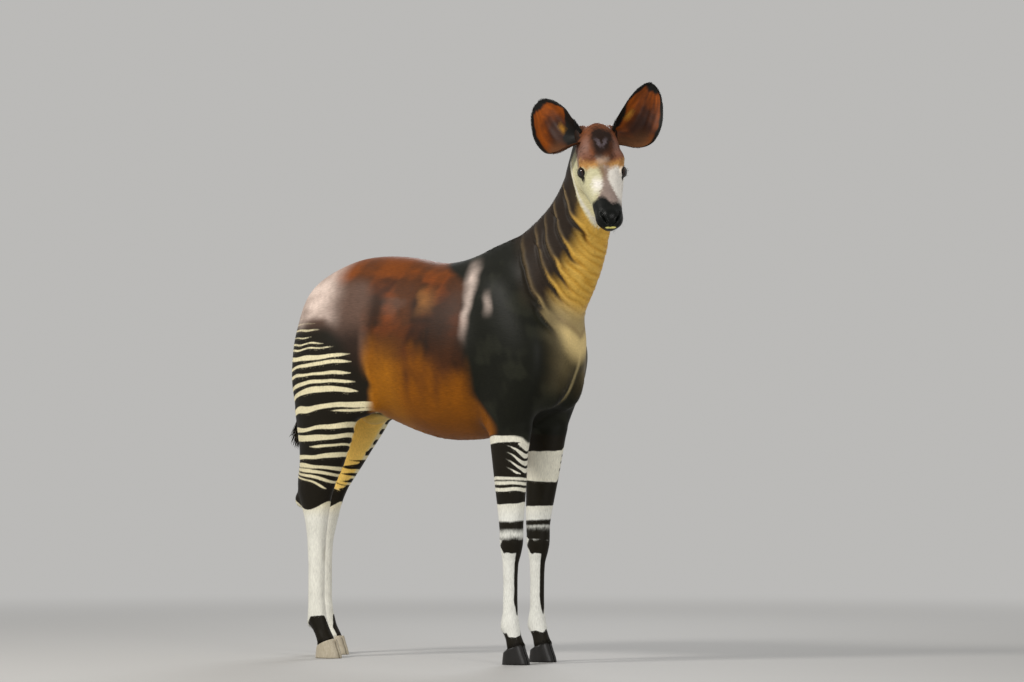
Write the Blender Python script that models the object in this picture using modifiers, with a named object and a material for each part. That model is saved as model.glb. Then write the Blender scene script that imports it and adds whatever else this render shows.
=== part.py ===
"""Life-size standing okapi, head turned to its right, as a still museum model.

Metres, +Z up, the floor at z = 0. The animal faces -Y and its left side is +X.
The flesh is lofted whole, fused, and then parted into nodes by thin plane cuts.
"""
import math
import random

import bmesh
import bpy
import numpy as np
from mathutils import Matrix, Vector

# Driving dimensions of the animal
WITHERS_HEIGHT = 1.582
CROUP_HEIGHT = 1.532
BACK_HEIGHT = 1.493
BELLY_HEIGHT = 0.815
TRUNK_HALF_WIDTH = 0.232
RUMP_END = -0.592
BREAST_END = 0.672
FORE_FOOT = 0.435
FORE_FOOT_LEFT = 0.395
HIND_FOOT_RIGHT = -0.432
HIND_FOOT_LEFT = -0.600
FORE_TRACK = 0.112
HIND_TRACK = 0.125
KNEE_HEIGHT = 0.445
HOCK_HEIGHT = 0.595
FETLOCK_HEIGHT = 0.14
HEAD_LENGTH = 0.468
EAR_LENGTH = 0.232
EAR_THICKNESS = 0.0045
EYE_RADIUS = 0.0220

# How the head is carried: the poll's place, then turn, pitch and tilt in degrees
POLL = (0.799, -0.086, 1.959)
HEAD_TURN = 45.0
HEAD_PITCH = 50.0
HEAD_TILT = 3.0

# Building sizes
GAP = 0.0003
BODY_VOXEL = 0.008
HEAD_VOXEL = 0.0032
RING_SIDES = 28
FLESH_TRIANGLES = 6000
HEAD_TRIANGLES = 4200


def place(forward, left, up):
    """World point from distances ahead, to the left and up."""
    return np.array([left, -forward, up])


def unit(vector):
    vector = np.asarray(vector, float)
    return vector / np.linalg.norm(vector)


LEFT = place(0, 1, 0)
AHEAD = place(1, 0, 0)
UP = place(0, 0, 1)


# Scene and collections

def clear_scene():
    for obj in list(bpy.data.objects):
        bpy.data.objects.remove(obj)
    parts = bpy.data.collections.new("okapi")
    cutters = bpy.data.collections.new("okapi_cutters")
    for collection in (parts, cutters):
        bpy.context.scene.collection.children.link(collection)
    return parts, cutters


PARTS, CUTTERS = clear_scene()


def make_material(name, colour, roughness):
    material = bpy.data.materials.new(name)
    material.use_nodes = True
    shader = material.node_tree.nodes["Principled BSDF"]
    shader.inputs["Base Color"].default_value = (*colour, 1.0)
    shader.inputs["Roughness"].default_value = roughness
    shader.inputs["Metallic"].default_value = 0.0
    return material


COAT = make_material("brown_coat", (0.085, 0.035, 0.018), 0.55)
NECK_COAT = make_material("neck_coat", (0.11, 0.07, 0.035), 0.55)
LEG_COAT = make_material("white_leg_coat", (0.72, 0.67, 0.56), 0.6)
FACE_COAT = make_material("face_coat", (0.55, 0.46, 0.36), 0.6)
EAR_COAT = make_material("ear_coat", (0.22, 0.065, 0.02), 0.6)
HORN = make_material("hoof_horn", (0.05, 0.045, 0.04), 0.35)
EYE = make_material("eye", (0.012, 0.008, 0.006), 0.08)
TAIL_HAIR = make_material("tail_hair", (0.02, 0.014, 0.01), 0.6)


def new_object(name, mesh, collection=None):
    obj = bpy.data.objects.new(name, mesh)
    (collection or CUTTERS).objects.link(obj)
    if collection is None:
        obj.hide_render = True
        obj.display_type = "WIRE"
    return obj


def finish_node(obj, name, material):
    obj.name = name
    obj.data.materials.clear()
    obj.data.materials.append(material)
    obj.data.shade_smooth()
    CUTTERS.objects.unlink(obj)
    PARTS.objects.link(obj)
    obj.hide_render = False
    obj.display_type = "TEXTURED"
    return obj


# Lofted flesh

def smooth_rows(rows, steps):
    """Rows of numbers resampled along their run, eased so that none but the path overshoots."""
    rows = np.asarray(rows, float)
    gaps = np.maximum(np.linalg.norm(np.diff(rows[:, :3], axis=0), axis=1), 1e-6)
    slopes = np.diff(rows, axis=0) / gaps[:, None]
    tangents = np.empty_like(rows)
    tangents[0], tangents[-1] = slopes[0], slopes[-1]
    before, after = slopes[:-1], slopes[1:]
    same_way = before * after > 0
    tangents[1:-1] = np.where(same_way, 2 * before * after / np.where(same_way, before + after, 1), 0)
    # The path itself may turn, so its own tangents are plain averages
    tangents[1:-1, :3] = (before[:, :3] + after[:, :3]) / 2
    out = []
    for i, gap in enumerate(gaps):
        for k in range(steps):
            t = k / steps
            h00, h10 = 2 * t**3 - 3 * t**2 + 1, t**3 - 2 * t**2 + t
            h01, h11 = -2 * t**3 + 3 * t**2, t**3 - t**2
            out.append(h00 * rows[i] + h10 * gap * tangents[i] + h01 * rows[i + 1] + h11 * gap * tangents[i + 1])
    out.append(rows[-1])
    return np.array(out)


def ring(centre, across, up, half_width, rise, drop, top_power, low_power, sides):
    """One closed section, a superellipse with its own upper and lower half."""
    points = []
    for k in range(sides):
        angle = 2 * math.pi * k / sides
        c, s = math.cos(angle), math.sin(angle)
        power = top_power if s >= 0 else low_power
        reach = rise if s >= 0 else drop
        x = half_width * math.copysign(abs(c) ** (2 / power), c)
        y = reach * math.copysign(abs(s) ** (2 / power), s)
        points.append(centre + across * x + up * y)
    return points


def loft(name, stations, steps=4, sides=RING_SIDES):
    """A closed body through stations of centre, across, up, half width, rise, drop and the two powers."""
    rows = [[*s[0], *s[1], *s[2], *s[3:]] for s in stations]
    rows = smooth_rows(rows, steps)
    rings = []
    for row in rows:
        across, up = unit(row[3:6]), unit(row[6:9])
        rings.append(ring(row[:3], across, up, *row[9:14], sides))
    mesh = bmesh.new()
    loops = [[mesh.verts.new(p) for p in points] for points in rings]
    for a, b in zip(loops, loops[1:]):
        for k in range(sides):
            j = (k + 1) % sides
            mesh.faces.new((a[k], a[j], b[j], b[k]))
    for loop in (loops[0], loops[-1]):
        middle = mesh.verts.new(sum((v.co for v in loop), Vector()) / sides)
        for k in range(sides):
            mesh.faces.new((loop[k], loop[(k + 1) % sides], middle))
    bmesh.ops.recalc_face_normals(mesh, faces=mesh.faces)
    data = bpy.data.meshes.new(name)
    mesh.to_mesh(data)
    mesh.free()
    return new_object(name, data)


def blob(name, centre, radii, axes=None, segments=24, rings=16):
    """An ellipsoid of muscle, bone or lip under the skin."""
    mesh = bmesh.new()
    bmesh.ops.create_uvsphere(mesh, u_segments=segments, v_segments=rings, radius=1.0)
    frame = np.eye(3) if axes is None else np.array(axes, float).T
    matrix = Matrix((frame @ np.diag(radii)).tolist()).to_4x4()
    matrix.translation = Vector(centre)
    bmesh.ops.transform(mesh, matrix=matrix, verts=mesh.verts)
    bmesh.ops.recalc_face_normals(mesh, faces=mesh.faces)
    data = bpy.data.meshes.new(name)
    mesh.to_mesh(data)
    mesh.free()
    return new_object(name, data)


def body_station(forward, top, middle, low, half_width, top_power=2.0, low_power=2.0, left=0.0):
    return (place(forward, left, middle), LEFT, UP, half_width, top - middle, middle - low, top_power, low_power)


def torso_pieces():
    rows = [
        (RUMP_END, 1.30, 1.22, 1.10, 0.060, 2.0, 2.0),
        (-0.572, 1.390, 1.22, 1.03, 0.125, 2.0, 2.0),
        (-0.525, 1.445, 1.22, 0.985, 0.172, 2.1, 2.0),
        (-0.42, 1.499, 1.22, 0.955, 0.203, 2.0, 2.0),
        (-0.30, CROUP_HEIGHT - 0.002, 1.20, 0.935, 0.214, 2.05, 2.0),
        (-0.20, CROUP_HEIGHT, 1.18, 0.90, 0.216, 2.1, 2.0),
        (-0.06, CROUP_HEIGHT - 0.014, 1.15, 0.85, 0.222, 1.95, 2.05),
        (0.06, BACK_HEIGHT, 1.13, BELLY_HEIGHT + 0.005, TRUNK_HALF_WIDTH, 1.95, 2.05),
        (0.18, 1.507, 1.13, BELLY_HEIGHT, 0.228, 1.85, 2.0),
        (0.30, 1.553, 1.13, 0.825, 0.205, 1.7, 2.0),
        (0.40, WITHERS_HEIGHT, 1.13, 0.85, 0.185, 1.65, 2.0),
        (0.50, 1.57, 1.14, 0.90, 0.165, 1.8, 2.1),
        (0.57, 1.45, 1.15, 0.965, 0.140, 2.0, 2.1),
        (0.62, 1.36, 1.16, 1.02, 0.105, 2.0, 2.0),
        (BREAST_END, 1.25, 1.16, 1.08, 0.050, 2.0, 2.0),
    ]
    pieces = [loft("trunk", [body_station(*row) for row in rows])]
    for side in (-1, 1):
        pieces += [
            blob("buttock", place(-0.475, side * 0.098, 1.17), (0.105, 0.112, 0.19)),
            blob("shoulder_point", place(0.535, side * 0.108, 1.12), (0.075, 0.072, 0.125)),
            blob("breast_muscle", place(0.565, side * 0.056, 1.05), (0.062, 0.085, 0.14)),
            blob("flank_fold", place(-0.225, side * 0.150, 1.03), (0.045, 0.10, 0.14)),
        ]
    pieces.append(blob("udder", place(-0.290, 0.0, 0.920), (0.062, 0.070, 0.048)))
    return pieces


# Legs

def leg_station(forward, left, height, half_depth, half_width, power=2.0):
    """A level section of a leg. Its up direction is ahead."""
    return (place(forward, left, height), LEFT, AHEAD, half_width, half_depth, half_depth, power, power)


def fore_leg(side, foot, track, lean=0.0):
    """From inside the shoulder to below the coronet. lean carries the forearm ahead of the foot."""
    out = side * 0.008
    t = side * track
    rows = [
        (0.345, side * 0.095, 1.47, 0.060, 0.022),
        (0.365, side * 0.118, 1.40, 0.115, 0.048),
        (0.400, side * 0.130, 1.28, 0.155, 0.066),
        (0.445, side * 0.135, 1.15, 0.168, 0.075),
        (foot + 0.020 + lean, side * 0.132, 1.03, 0.150, 0.076),
        (foot + 0.007 + lean, t + 2 * out, 0.93, 0.118, 0.072),
        (foot + 0.002 + lean, t + out, 0.85, 0.092, 0.062),
        (foot + lean * 0.9, t + out, 0.77, 0.079, 0.054),
        (foot + lean * 0.6, t + out / 2, 0.67, 0.069, 0.049),
        (foot + lean * 0.3, t, 0.58, 0.059, 0.045),
        (foot + 0.001, t, KNEE_HEIGHT + 0.06, 0.051, 0.042),
        (foot + 0.003, t, KNEE_HEIGHT, 0.0475, 0.0425),
        (foot + 0.001, t, KNEE_HEIGHT - 0.04, 0.043, 0.038),
        (foot - 0.002, t, KNEE_HEIGHT - 0.08, 0.034, 0.030),
        (foot - 0.003, t, 0.27, 0.0315, 0.0275),
        (foot - 0.003, t, 0.19, 0.0325, 0.0285),
        (foot - 0.004, t, FETLOCK_HEIGHT, 0.041, 0.035),
        (foot + 0.008, t, 0.105, 0.0345, 0.0335),
        (foot + 0.020, t, 0.075, 0.037, 0.037),
        (foot + 0.028, t, 0.045, 0.041, 0.039),
        (foot + 0.030, t, 0.030, 0.037, 0.035),
    ]
    pieces = [loft("fore_leg", [leg_station(*row) for row in rows], sides=24)]
    pieces += [
        blob("elbow", place(foot - 0.080 + lean, side * 0.122, 0.890), (0.034, 0.045, 0.06)),
        blob("knee_cap", place(foot + 0.022, t, KNEE_HEIGHT + 0.012), (0.034, 0.026, 0.04)),
        blob("knee_back", place(foot - 0.032, t, KNEE_HEIGHT + 0.002), (0.022, 0.02, 0.034)),
        blob("fetlock_back", place(foot - 0.026, t, FETLOCK_HEIGHT - 0.006), (0.026, 0.02, 0.024)),
    ]
    return pieces


# How far ahead each haunch section lies, from the hip to just over the hock
HAUNCH_RIGHT = (-0.340, -0.355, -0.372, -0.383, -0.392, -0.405, -0.420, -0.443)
HAUNCH_LEFT = (-0.345, -0.362, -0.385, -0.412, -0.455, -0.497, -0.535, -0.575)


def hind_leg(side, foot, track, haunch, slant=0.0):
    """From inside the haunch to below the coronet. slant carries the hock ahead of the foot."""
    t = side * track
    rows = [
        (haunch[0], side * 0.105, 1.42, 0.075, 0.035),
        (haunch[1], side * 0.130, 1.33, 0.155, 0.070),
        (haunch[2], side * 0.145, 1.20, 0.195, 0.088),
        (haunch[3], side * 0.152, 1.07, 0.192, 0.088),
        (haunch[4], side * 0.152, 0.96, 0.165, 0.080),
        (haunch[5], side * 0.148, 0.87, 0.138, 0.071),
        (haunch[6], t + side * 0.016, 0.79, 0.116, 0.063),
        (haunch[7], t + side * 0.010, 0.71, 0.099, 0.054),
        (foot - 0.038 + slant, t + side * 0.005, HOCK_HEIGHT + 0.045, 0.085, 0.047),
        (foot - 0.042 + slant * 0.8, t, HOCK_HEIGHT - 0.02, 0.064, 0.045),
        (foot - 0.039 + slant * 0.5, t, HOCK_HEIGHT - 0.08, 0.051, 0.039),
        (foot - 0.038, t, 0.44, 0.043, 0.033),
        (foot - 0.038, t, 0.33, 0.0385, 0.0295),
        (foot - 0.038, t, 0.22, 0.0385, 0.030),
        (foot - 0.036, t, 0.175, 0.041, 0.033),
        (foot - 0.032, t, FETLOCK_HEIGHT, 0.045, 0.0365),
        (foot - 0.012, t, 0.105, 0.038, 0.035),
        (foot + 0.006, t, 0.075, 0.039, 0.038),
        (foot + 0.016, t, 0.045, 0.042, 0.040),
        (foot + 0.018, t, 0.030, 0.038, 0.036),
    ]
    pieces = [loft("hind_leg", [leg_station(*row) for row in rows], sides=24)]
    pieces += [
        blob("stifle", place(haunch[4] + 0.145, side * 0.158, 0.985), (0.050, 0.062, 0.085)),
        blob("hock_point", place(foot - 0.118 + slant, t, HOCK_HEIGHT + 0.006), (0.019, 0.032, 0.038)),
        blob("heel_cord", place(foot - 0.104 + slant, t + side * 0.006, HOCK_HEIGHT + 0.08), (0.014, 0.026, 0.09)),
        blob("hock_side", place(foot - 0.040 + slant * 0.7, t, HOCK_HEIGHT - 0.03), (0.046, 0.045, 0.042)),
        blob("fetlock_back", place(foot - 0.060, t, FETLOCK_HEIGHT - 0.006), (0.026, 0.022, 0.024)),
    ]
    return pieces


# Neck

def neck_pieces():
    turn_at_top = math.radians(30.0)
    rows = [
        (0.36, 0.0, 1.26, 0.215, 0.20, 0.145, 0.0),
        (0.485, 0.0, 1.375, 0.220, 0.212, 0.128, 0.0),
        (0.585, -0.004, 1.495, 0.184, 0.200, 0.106, 0.15),
        (0.660, -0.014, 1.610, 0.142, 0.176, 0.091, 0.35),
        (0.712, -0.030, 1.710, 0.122, 0.152, 0.081, 0.6),
        (0.745, -0.048, 1.800, 0.112, 0.134, 0.075, 0.85),
        (0.765, -0.066, 1.880, 0.085, 0.118, 0.068, 1.0),
        (0.775, -0.076, 1.915, 0.055, 0.085, 0.055, 1.0),
    ]
    points = [place(*row[:3]) for row in rows]
    stations = []
    for i, row in enumerate(rows):
        along = unit(points[min(i + 1, len(points) - 1)] - points[max(i - 1, 0)])
        turn = turn_at_top * row[6]
        across = place(math.sin(turn), math.cos(turn), 0)
        dorsal = unit(np.cross(along, across))
        if dorsal @ AHEAD > 0:
            dorsal = -dorsal
        across = unit(across - along * (across @ along))
        stations.append((points[i], across, dorsal, row[5], row[3], row[4], 1.9, 2.0))
    return [loft("neck_core", stations, sides=RING_SIDES)]


# Head, modelled along its own axes: from the poll to the nose, up from the face, and left

def head_axes():
    turn, pitch, tilt = (math.radians(a) for a in (HEAD_TURN, HEAD_PITCH, HEAD_TILT))
    heading = place(math.cos(turn), -math.sin(turn), 0)
    nose = unit(heading * math.cos(pitch) - UP * math.sin(pitch))
    face = unit(heading * math.sin(pitch) + UP * math.cos(pitch))
    side = place(math.sin(turn), math.cos(turn), 0)
    tilted_side = side * math.cos(tilt) + face * math.sin(tilt)
    tilted_face = face * math.cos(tilt) - side * math.sin(tilt)
    return nose, tilted_face, tilted_side


NOSE, FACE, SIDE = head_axes()
ORIGIN = place(*POLL) - FACE * 0.012


def head_point(along, rise, left):
    return ORIGIN + NOSE * along + FACE * rise + SIDE * left


def head_blob(name, centre, radii, lean=0.0, yaw=0.0):
    """An ellipsoid in the head's axes. lean turns it nose down, yaw turns its front outwards."""
    c, s = math.cos(math.radians(lean)), math.sin(math.radians(lean))
    cy, sy = math.cos(math.radians(yaw)), math.sin(math.radians(yaw))
    first = NOSE * c * cy - FACE * s + SIDE * sy * c
    first = unit(first)
    third = unit(SIDE - first * (SIDE @ first))
    second = np.cross(third, first)
    return blob(name, head_point(*centre), radii, axes=(first, second, third))


def head_station(along, top, middle, low, half_width, top_power, low_power):
    return (head_point(along, middle, 0), SIDE, FACE, half_width, top - middle, middle - low, top_power, low_power)


EYE_PLACE = (0.202, -0.043, 0.0655)


def eye_centre(side):
    along, rise, out = EYE_PLACE
    return head_point(along, rise, side * out)


def head_pieces():
    rows = [
        (-0.042, -0.050, -0.085, -0.135, 0.045, 2.0, 2.0),
        (-0.018, -0.018, -0.070, -0.160, 0.062, 2.1, 2.0),
        (0.020, 0.004, -0.055, -0.178, 0.074, 2.2, 1.9),
        (0.070, 0.012, -0.052, -0.187, 0.082, 2.3, 1.9),
        (0.130, 0.012, -0.054, -0.180, 0.086, 2.3, 2.0),
        (0.185, 0.002, -0.060, -0.166, 0.083, 2.1, 2.1),
        (0.215, -0.003, -0.064, -0.157, 0.080, 2.0, 2.2),
        (0.245, -0.006, -0.062, -0.147, 0.0755, 2.0, 2.3),
        (0.300, -0.009, -0.055, -0.123, 0.0655, 2.1, 2.3),
        (0.355, -0.009, -0.052, -0.103, 0.0555, 2.1, 2.3),
        (0.400, -0.010, -0.052, -0.096, 0.0505, 2.2, 2.2),
        (0.435, -0.014, -0.053, -0.094, 0.0480, 2.2, 2.2),
        (0.458, -0.026, -0.055, -0.086, 0.0375, 2.0, 2.0),
        (HEAD_LENGTH, -0.042, -0.055, -0.070, 0.016, 2.0, 2.0),
    ]
    pieces = [loft("skull", [head_station(*row) for row in rows], steps=5, sides=36)]
    pieces += [
        head_blob("forehead", (0.095, -0.008, 0.0), (0.105, 0.042, 0.070), lean=6),
        head_blob("brow_dome", (0.116, 0.000, 0.0), (0.070, 0.033, 0.056), lean=14),
        head_blob("nose_bridge", (0.300, -0.020, 0.0), (0.120, 0.016, 0.030), lean=1),
        head_blob("nose_pad", (0.432, -0.032, 0.0), (0.034, 0.024, 0.038), lean=24),
        head_blob("chin", (0.420, -0.090, 0.0), (0.038, 0.017, 0.031), lean=-4),
        head_blob("throat", (0.105, -0.150, 0.0), (0.075, 0.045, 0.060), lean=-20),
    ]
    for side in (-1, 1):
        along, rise, out = EYE_PLACE
        pieces += [
            head_blob("brow", (0.162, -0.017, side * 0.064), (0.048, 0.021, 0.027), lean=10),
            head_blob("cheek_bone", (0.215, -0.076, side * 0.060), (0.070, 0.020, 0.019), lean=-10),
            head_blob("jaw_muscle", (0.125, -0.116, side * 0.052), (0.108, 0.070, 0.041), lean=-18),
            head_blob("upper_lip", (0.420, -0.056, side * 0.024), (0.044, 0.028, 0.0285), lean=4),
            head_blob("lids", (along, rise, side * out), (EYE_RADIUS + 0.0046,) * 3),
            head_blob("ear_root", (0.006, -0.036, side * 0.052), (0.040, 0.032, 0.033), lean=0),
        ]
    return pieces


# Fusing, carving and parting

def mesh_of(obj):
    """The object's mesh with its modifiers applied."""
    graph = bpy.context.evaluated_depsgraph_get()
    return bpy.data.meshes.new_from_object(obj.evaluated_get(graph))


def fuse(name, pieces, voxel):
    """One closed skin over overlapping pieces."""
    joined = bmesh.new()
    for piece in pieces:
        joined.from_mesh(piece.data)
    data = bpy.data.meshes.new(name)
    joined.to_mesh(data)
    joined.free()
    for piece in pieces:
        bpy.data.objects.remove(piece)
    obj = new_object(name, data)
    remesh = obj.modifiers.new("fuse", "REMESH")
    remesh.mode = "VOXEL"
    remesh.voxel_size = voxel
    bpy.context.view_layer.update()
    obj.data = mesh_of(obj)
    obj.modifiers.clear()
    return obj


def coordinates(mesh):
    points = np.empty(len(mesh.vertices) * 3, np.float32)
    mesh.vertices.foreach_get("co", points)
    return points.reshape(-1, 3).astype(float)


def set_coordinates(mesh, points):
    mesh.vertices.foreach_set("co", points.astype(np.float32).ravel())
    mesh.update()


def ramp(values, low, high):
    """0 below low, 1 above high and an eased rise between."""
    t = np.clip((values - low) / (high - low), 0, 1)
    return t * t * (3 - 2 * t)


def ease(obj, rounds, share_of):
    """Every point drawn towards its neighbours' mean by its own share."""
    mesh = obj.data
    edges = np.empty(len(mesh.edges) * 2, np.int32)
    mesh.edges.foreach_get("vertices", edges)
    a, b = edges.reshape(-1, 2).T
    points = coordinates(mesh)
    count = np.bincount(edges, minlength=len(points))
    share = share_of(points)
    for _ in range(rounds):
        for axis in range(3):
            values = points[:, axis].copy()
            total = np.bincount(a, values[b], len(points)) + np.bincount(b, values[a], len(points))
            points[:, axis] += share * (total / count - values)
    set_coordinates(mesh, points)


def body_softness(points):
    """The trunk's muscles blend widely; limbs below the elbow and the upper neck hardly."""
    height = points[:, 2]
    trunk = ramp(height, 0.80, 1.00) * (1 - 0.8 * ramp(height, 1.60, 1.75))
    return 0.045 + 0.455 * trunk


def head_softness(points):
    """Skull and jaw blend more than the lips and the lids."""
    middle = points - ORIGIN
    along = middle @ NOSE
    share = 0.5 - 0.44 * ramp(along, 0.30, 0.40)
    for side in (-1, 1):
        far = np.linalg.norm(points - eye_centre(side), axis=1)
        share = np.minimum(share, 0.04 + 0.46 * ramp(far, 0.028, 0.060))
    return share


def path_distance(points, path):
    """Distance of every point from a broken line."""
    path = np.asarray(path, float)
    best = np.full(len(points), np.inf)
    for a, b in zip(path, path[1:]):
        ab = b - a
        t = np.clip((points - a) @ ab / (ab @ ab), 0, 1)
        best = np.minimum(best, np.linalg.norm(points - a - t[:, None] * ab, axis=1))
    return best


def carve(points, path, radius, depth, inwards):
    """Points near the path pushed inwards, deepest on the path."""
    share = np.clip(1 - (path_distance(points, path) / radius) ** 2, 0, 1) ** 2
    return points + share[:, None] * depth * inwards


def mouth_path(side):
    rows = [(0.466, -0.071, 0.0), (0.458, -0.073, 0.016), (0.440, -0.075, 0.030), (0.410, -0.074, 0.040),
            (0.375, -0.072, 0.044), (0.345, -0.070, 0.046)]
    return [head_point(a, r, side * w) for a, r, w in rows]


def carve_head(obj):
    points = coordinates(obj.data)
    for side in (-1, 1):
        # The mouth line runs back from the lips' front
        inwards = unit(-SIDE * side - NOSE * 0.35)
        points = carve(points, mouth_path(side), 0.0075, 0.0075, inwards)
        nostril = [head_point(0.456, -0.038, side * 0.016), head_point(0.443, -0.025, side * 0.027),
                   head_point(0.424, -0.021, side * 0.034)]
        points = carve(points, nostril, 0.0105, 0.0100, unit(-NOSE - FACE * 0.4 - SIDE * side * 0.4))
        temple = [head_point(0.110, -0.048, side * 0.085), head_point(0.150, -0.045, side * 0.085)]
        points = carve(points, temple, 0.035, 0.006, -SIDE * side)
    # The groove below the nose, and the two sides of the lower jaw
    philtrum = [head_point(0.474, -0.046, 0), head_point(0.470, -0.066, 0)]
    points = carve(points, philtrum, 0.009, 0.0022, -NOSE)
    hollow = [head_point(0.10, -0.19, 0), head_point(0.22, -0.16, 0), head_point(0.33, -0.115, 0)]
    points = carve(points, hollow, 0.026, 0.012, FACE)
    set_coordinates(obj.data, points)


def thin(obj, triangles):
    """Fewer triangles, kept where the surface turns most."""
    obj.data.calc_loop_triangles()
    have = len(obj.data.loop_triangles)
    reduce = obj.modifiers.new("thin", "DECIMATE")
    reduce.ratio = min(1.0, triangles / have)
    reduce.use_collapse_triangulate = True
    bpy.context.view_layer.update()
    obj.data = mesh_of(obj)
    obj.modifiers.clear()


def slab(name, point, normal, offset, reach=1.2, depth=2.4):
    """A large block whose face lies on the plane through point, moved by offset along normal."""
    normal = unit(normal)
    mesh = bmesh.new()
    bmesh.ops.create_cube(mesh, size=1.0)
    turn = Vector(normal).to_track_quat("Z", "Y").to_matrix().to_4x4()
    scale = Matrix.Diagonal((2 * reach, 2 * reach, depth, 1))
    centre = Matrix.Translation(Vector(point + normal * (offset + depth / 2)))
    bmesh.ops.transform(mesh, matrix=centre @ turn @ scale, verts=mesh.verts)
    data = bpy.data.meshes.new(name)
    mesh.to_mesh(data)
    mesh.free()
    return new_object(name, data)


def combine(obj, other, operation, solver="EXACT"):
    boolean = obj.modifiers.new(operation.lower(), "BOOLEAN")
    boolean.operation = operation
    boolean.solver = solver
    boolean.object = other
    bpy.context.view_layer.update()
    obj.data = mesh_of(obj)
    obj.modifiers.clear()
    return obj


def keep_largest(obj):
    """Only the largest closed surface stays."""
    mesh = bmesh.new()
    mesh.from_mesh(obj.data)
    mesh.verts.ensure_lookup_table()
    seen, groups = set(), []
    for start in mesh.verts:
        if start.index in seen:
            continue
        group, todo = [], [start]
        seen.add(start.index)
        while todo:
            vertex = todo.pop()
            group.append(vertex)
            for edge in vertex.link_edges:
                other = edge.other_vert(vertex)
                if other.index not in seen:
                    seen.add(other.index)
                    todo.append(other)
        groups.append(group)
    groups.sort(key=len)
    for group in groups[:-1]:
        bmesh.ops.delete(mesh, geom=group, context="VERTS")
    mesh.to_mesh(obj.data)
    mesh.free()


def part_off(whole, name, planes):
    """A copy of the whole kept on the far side of every (point, normal) plane, half a gap back from it."""
    node = new_object(name, whole.data.copy())
    for point, normal in planes:
        block = slab("cut", np.asarray(point, float), normal, GAP / 2)
        combine(node, block, "INTERSECT")
        bpy.data.objects.remove(block)
    keep_largest(node)
    return node


# Where the body is parted: a point on each plane and the way to the limb's side
NECK_CUT = (place(0.52, 0, 1.42), unit(place(0.72, 0, 0.70)))
HEADING = unit(NOSE * np.array([1, 1, 0]))
HEAD_CUT = (ORIGIN - HEADING * 0.13 - UP * 0.155, unit(HEADING * 0.63 + UP * 0.776))
ELBOW_CUT = (place(FORE_FOOT, 0, 0.845), unit(place(0.25, 0, -1)))
STIFLE_CUT = (place(-0.42, 0, 0.905), unit(place(-0.35, 0, -1)))
CORONET_HEIGHT = 0.058
CORONET_SLOPE = 0.42


def coronet_cut(foot):
    """Higher over the toes than at the heel. The normal points up the leg."""
    return place(foot + 0.012, 0, CORONET_HEIGHT), unit(place(-CORONET_SLOPE, 0, 1))


# Ears

# The leaf's two margins from root to tip: share of the length, inner reach, outer reach, half roll in degrees
EAR_MARGINS = (
    (0.00, 0.020, 0.024, 150),
    (0.05, 0.023, 0.050, 128),
    (0.10, 0.026, 0.080, 104),
    (0.18, 0.029, 0.108, 84),
    (0.28, 0.032, 0.124, 69),
    (0.40, 0.034, 0.126, 59),
    (0.52, 0.036, 0.119, 52),
    (0.64, 0.036, 0.105, 47),
    (0.75, 0.034, 0.086, 43),
    (0.85, 0.028, 0.065, 39),
    (0.93, 0.020, 0.043, 35),
    (0.98, 0.010, 0.021, 32),
    (1.00, 0.003, 0.006, 30),
)
# How far the outer lobe hangs at the root, how far the leaf bows backwards, and its faces across
EAR_LOBE_SAG = 0.050
EAR_BOW = 0.028
EAR_STEPS = 10
# Ways in the photograph's own terms: to the right along the picture, and towards the viewer
VIEW_RIGHT = place(0.809, 0.588, 0)
VIEW_NEAR = place(0.588, -0.809, 0)


def ear(name, axis, lobe, root):
    """A leaf with a deep cup, rolled to a tube at its root. lobe is the way to its outer margin."""
    axis = unit(axis)
    width = unit(lobe - axis * (axis @ lobe))
    opening = np.cross(axis, width)
    if opening @ VIEW_NEAR < 0:
        opening = -opening
    mesh = bmesh.new()
    grid = []
    for share, inner, outer, roll in EAR_MARGINS:
        roll = math.radians(roll)
        half, middle = (inner + outer) / 2, (outer - inner) / 2
        radius = half / math.sin(roll) if roll < math.pi / 2 else half
        row = []
        for k in range(EAR_STEPS + 1):
            t = -1 + 2 * k / EAR_STEPS
            sag = EAR_LOBE_SAG * max(0.0, t) * (1 - share) ** 2
            deep = radius * (1 - math.cos(t * roll)) - EAR_BOW * math.sin(math.pi * share)
            point = (root + axis * (EAR_LENGTH * share - sag)
                     + width * (middle + radius * math.sin(t * roll)) + opening * deep)
            row.append(mesh.verts.new(point))
        grid.append(row)
    for a, b in zip(grid, grid[1:]):
        for k in range(EAR_STEPS):
            mesh.faces.new((a[k], a[k + 1], b[k + 1], b[k]))
    bmesh.ops.recalc_face_normals(mesh, faces=mesh.faces)
    data = bpy.data.meshes.new(name)
    mesh.to_mesh(data)
    mesh.free()
    obj = new_object(name, data)
    shell = obj.modifiers.new("shell", "SOLIDIFY")
    shell.thickness = EAR_THICKNESS
    shell.offset = 0.0
    bpy.context.view_layer.update()
    obj.data = mesh_of(obj)
    obj.modifiers.clear()
    return obj


def ears():
    right_axis = (VIEW_RIGHT * -0.740 + UP * 0.672) * 0.84 - VIEW_NEAR * 0.46
    right = ear("ear_right", right_axis, VIEW_RIGHT * -0.656 - UP * 0.755, head_point(0.022, -0.036, -0.062))
    left_axis = VIEW_RIGHT * 0.585 + UP * 0.81 - VIEW_NEAR * 0.12
    left = ear("ear_left", left_axis, VIEW_RIGHT * 0.827 - UP * 0.56, head_point(0.016, -0.034, 0.072))
    return {-1: right, 1: left}


# Hooves

# One toe from the sole up: height, heel and toe ahead of the foot's middle, and half width
HOOF_ROWS = (
    (0.0, -0.030, 0.078, 0.0385),
    (0.020, -0.028, 0.073, 0.0375),
    (0.045, -0.024, 0.062, 0.0360),
    (0.078, -0.018, 0.050, 0.0340),
)
HOOF_CLEFT = 0.0022
HOOF_SIDES = 14


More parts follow.
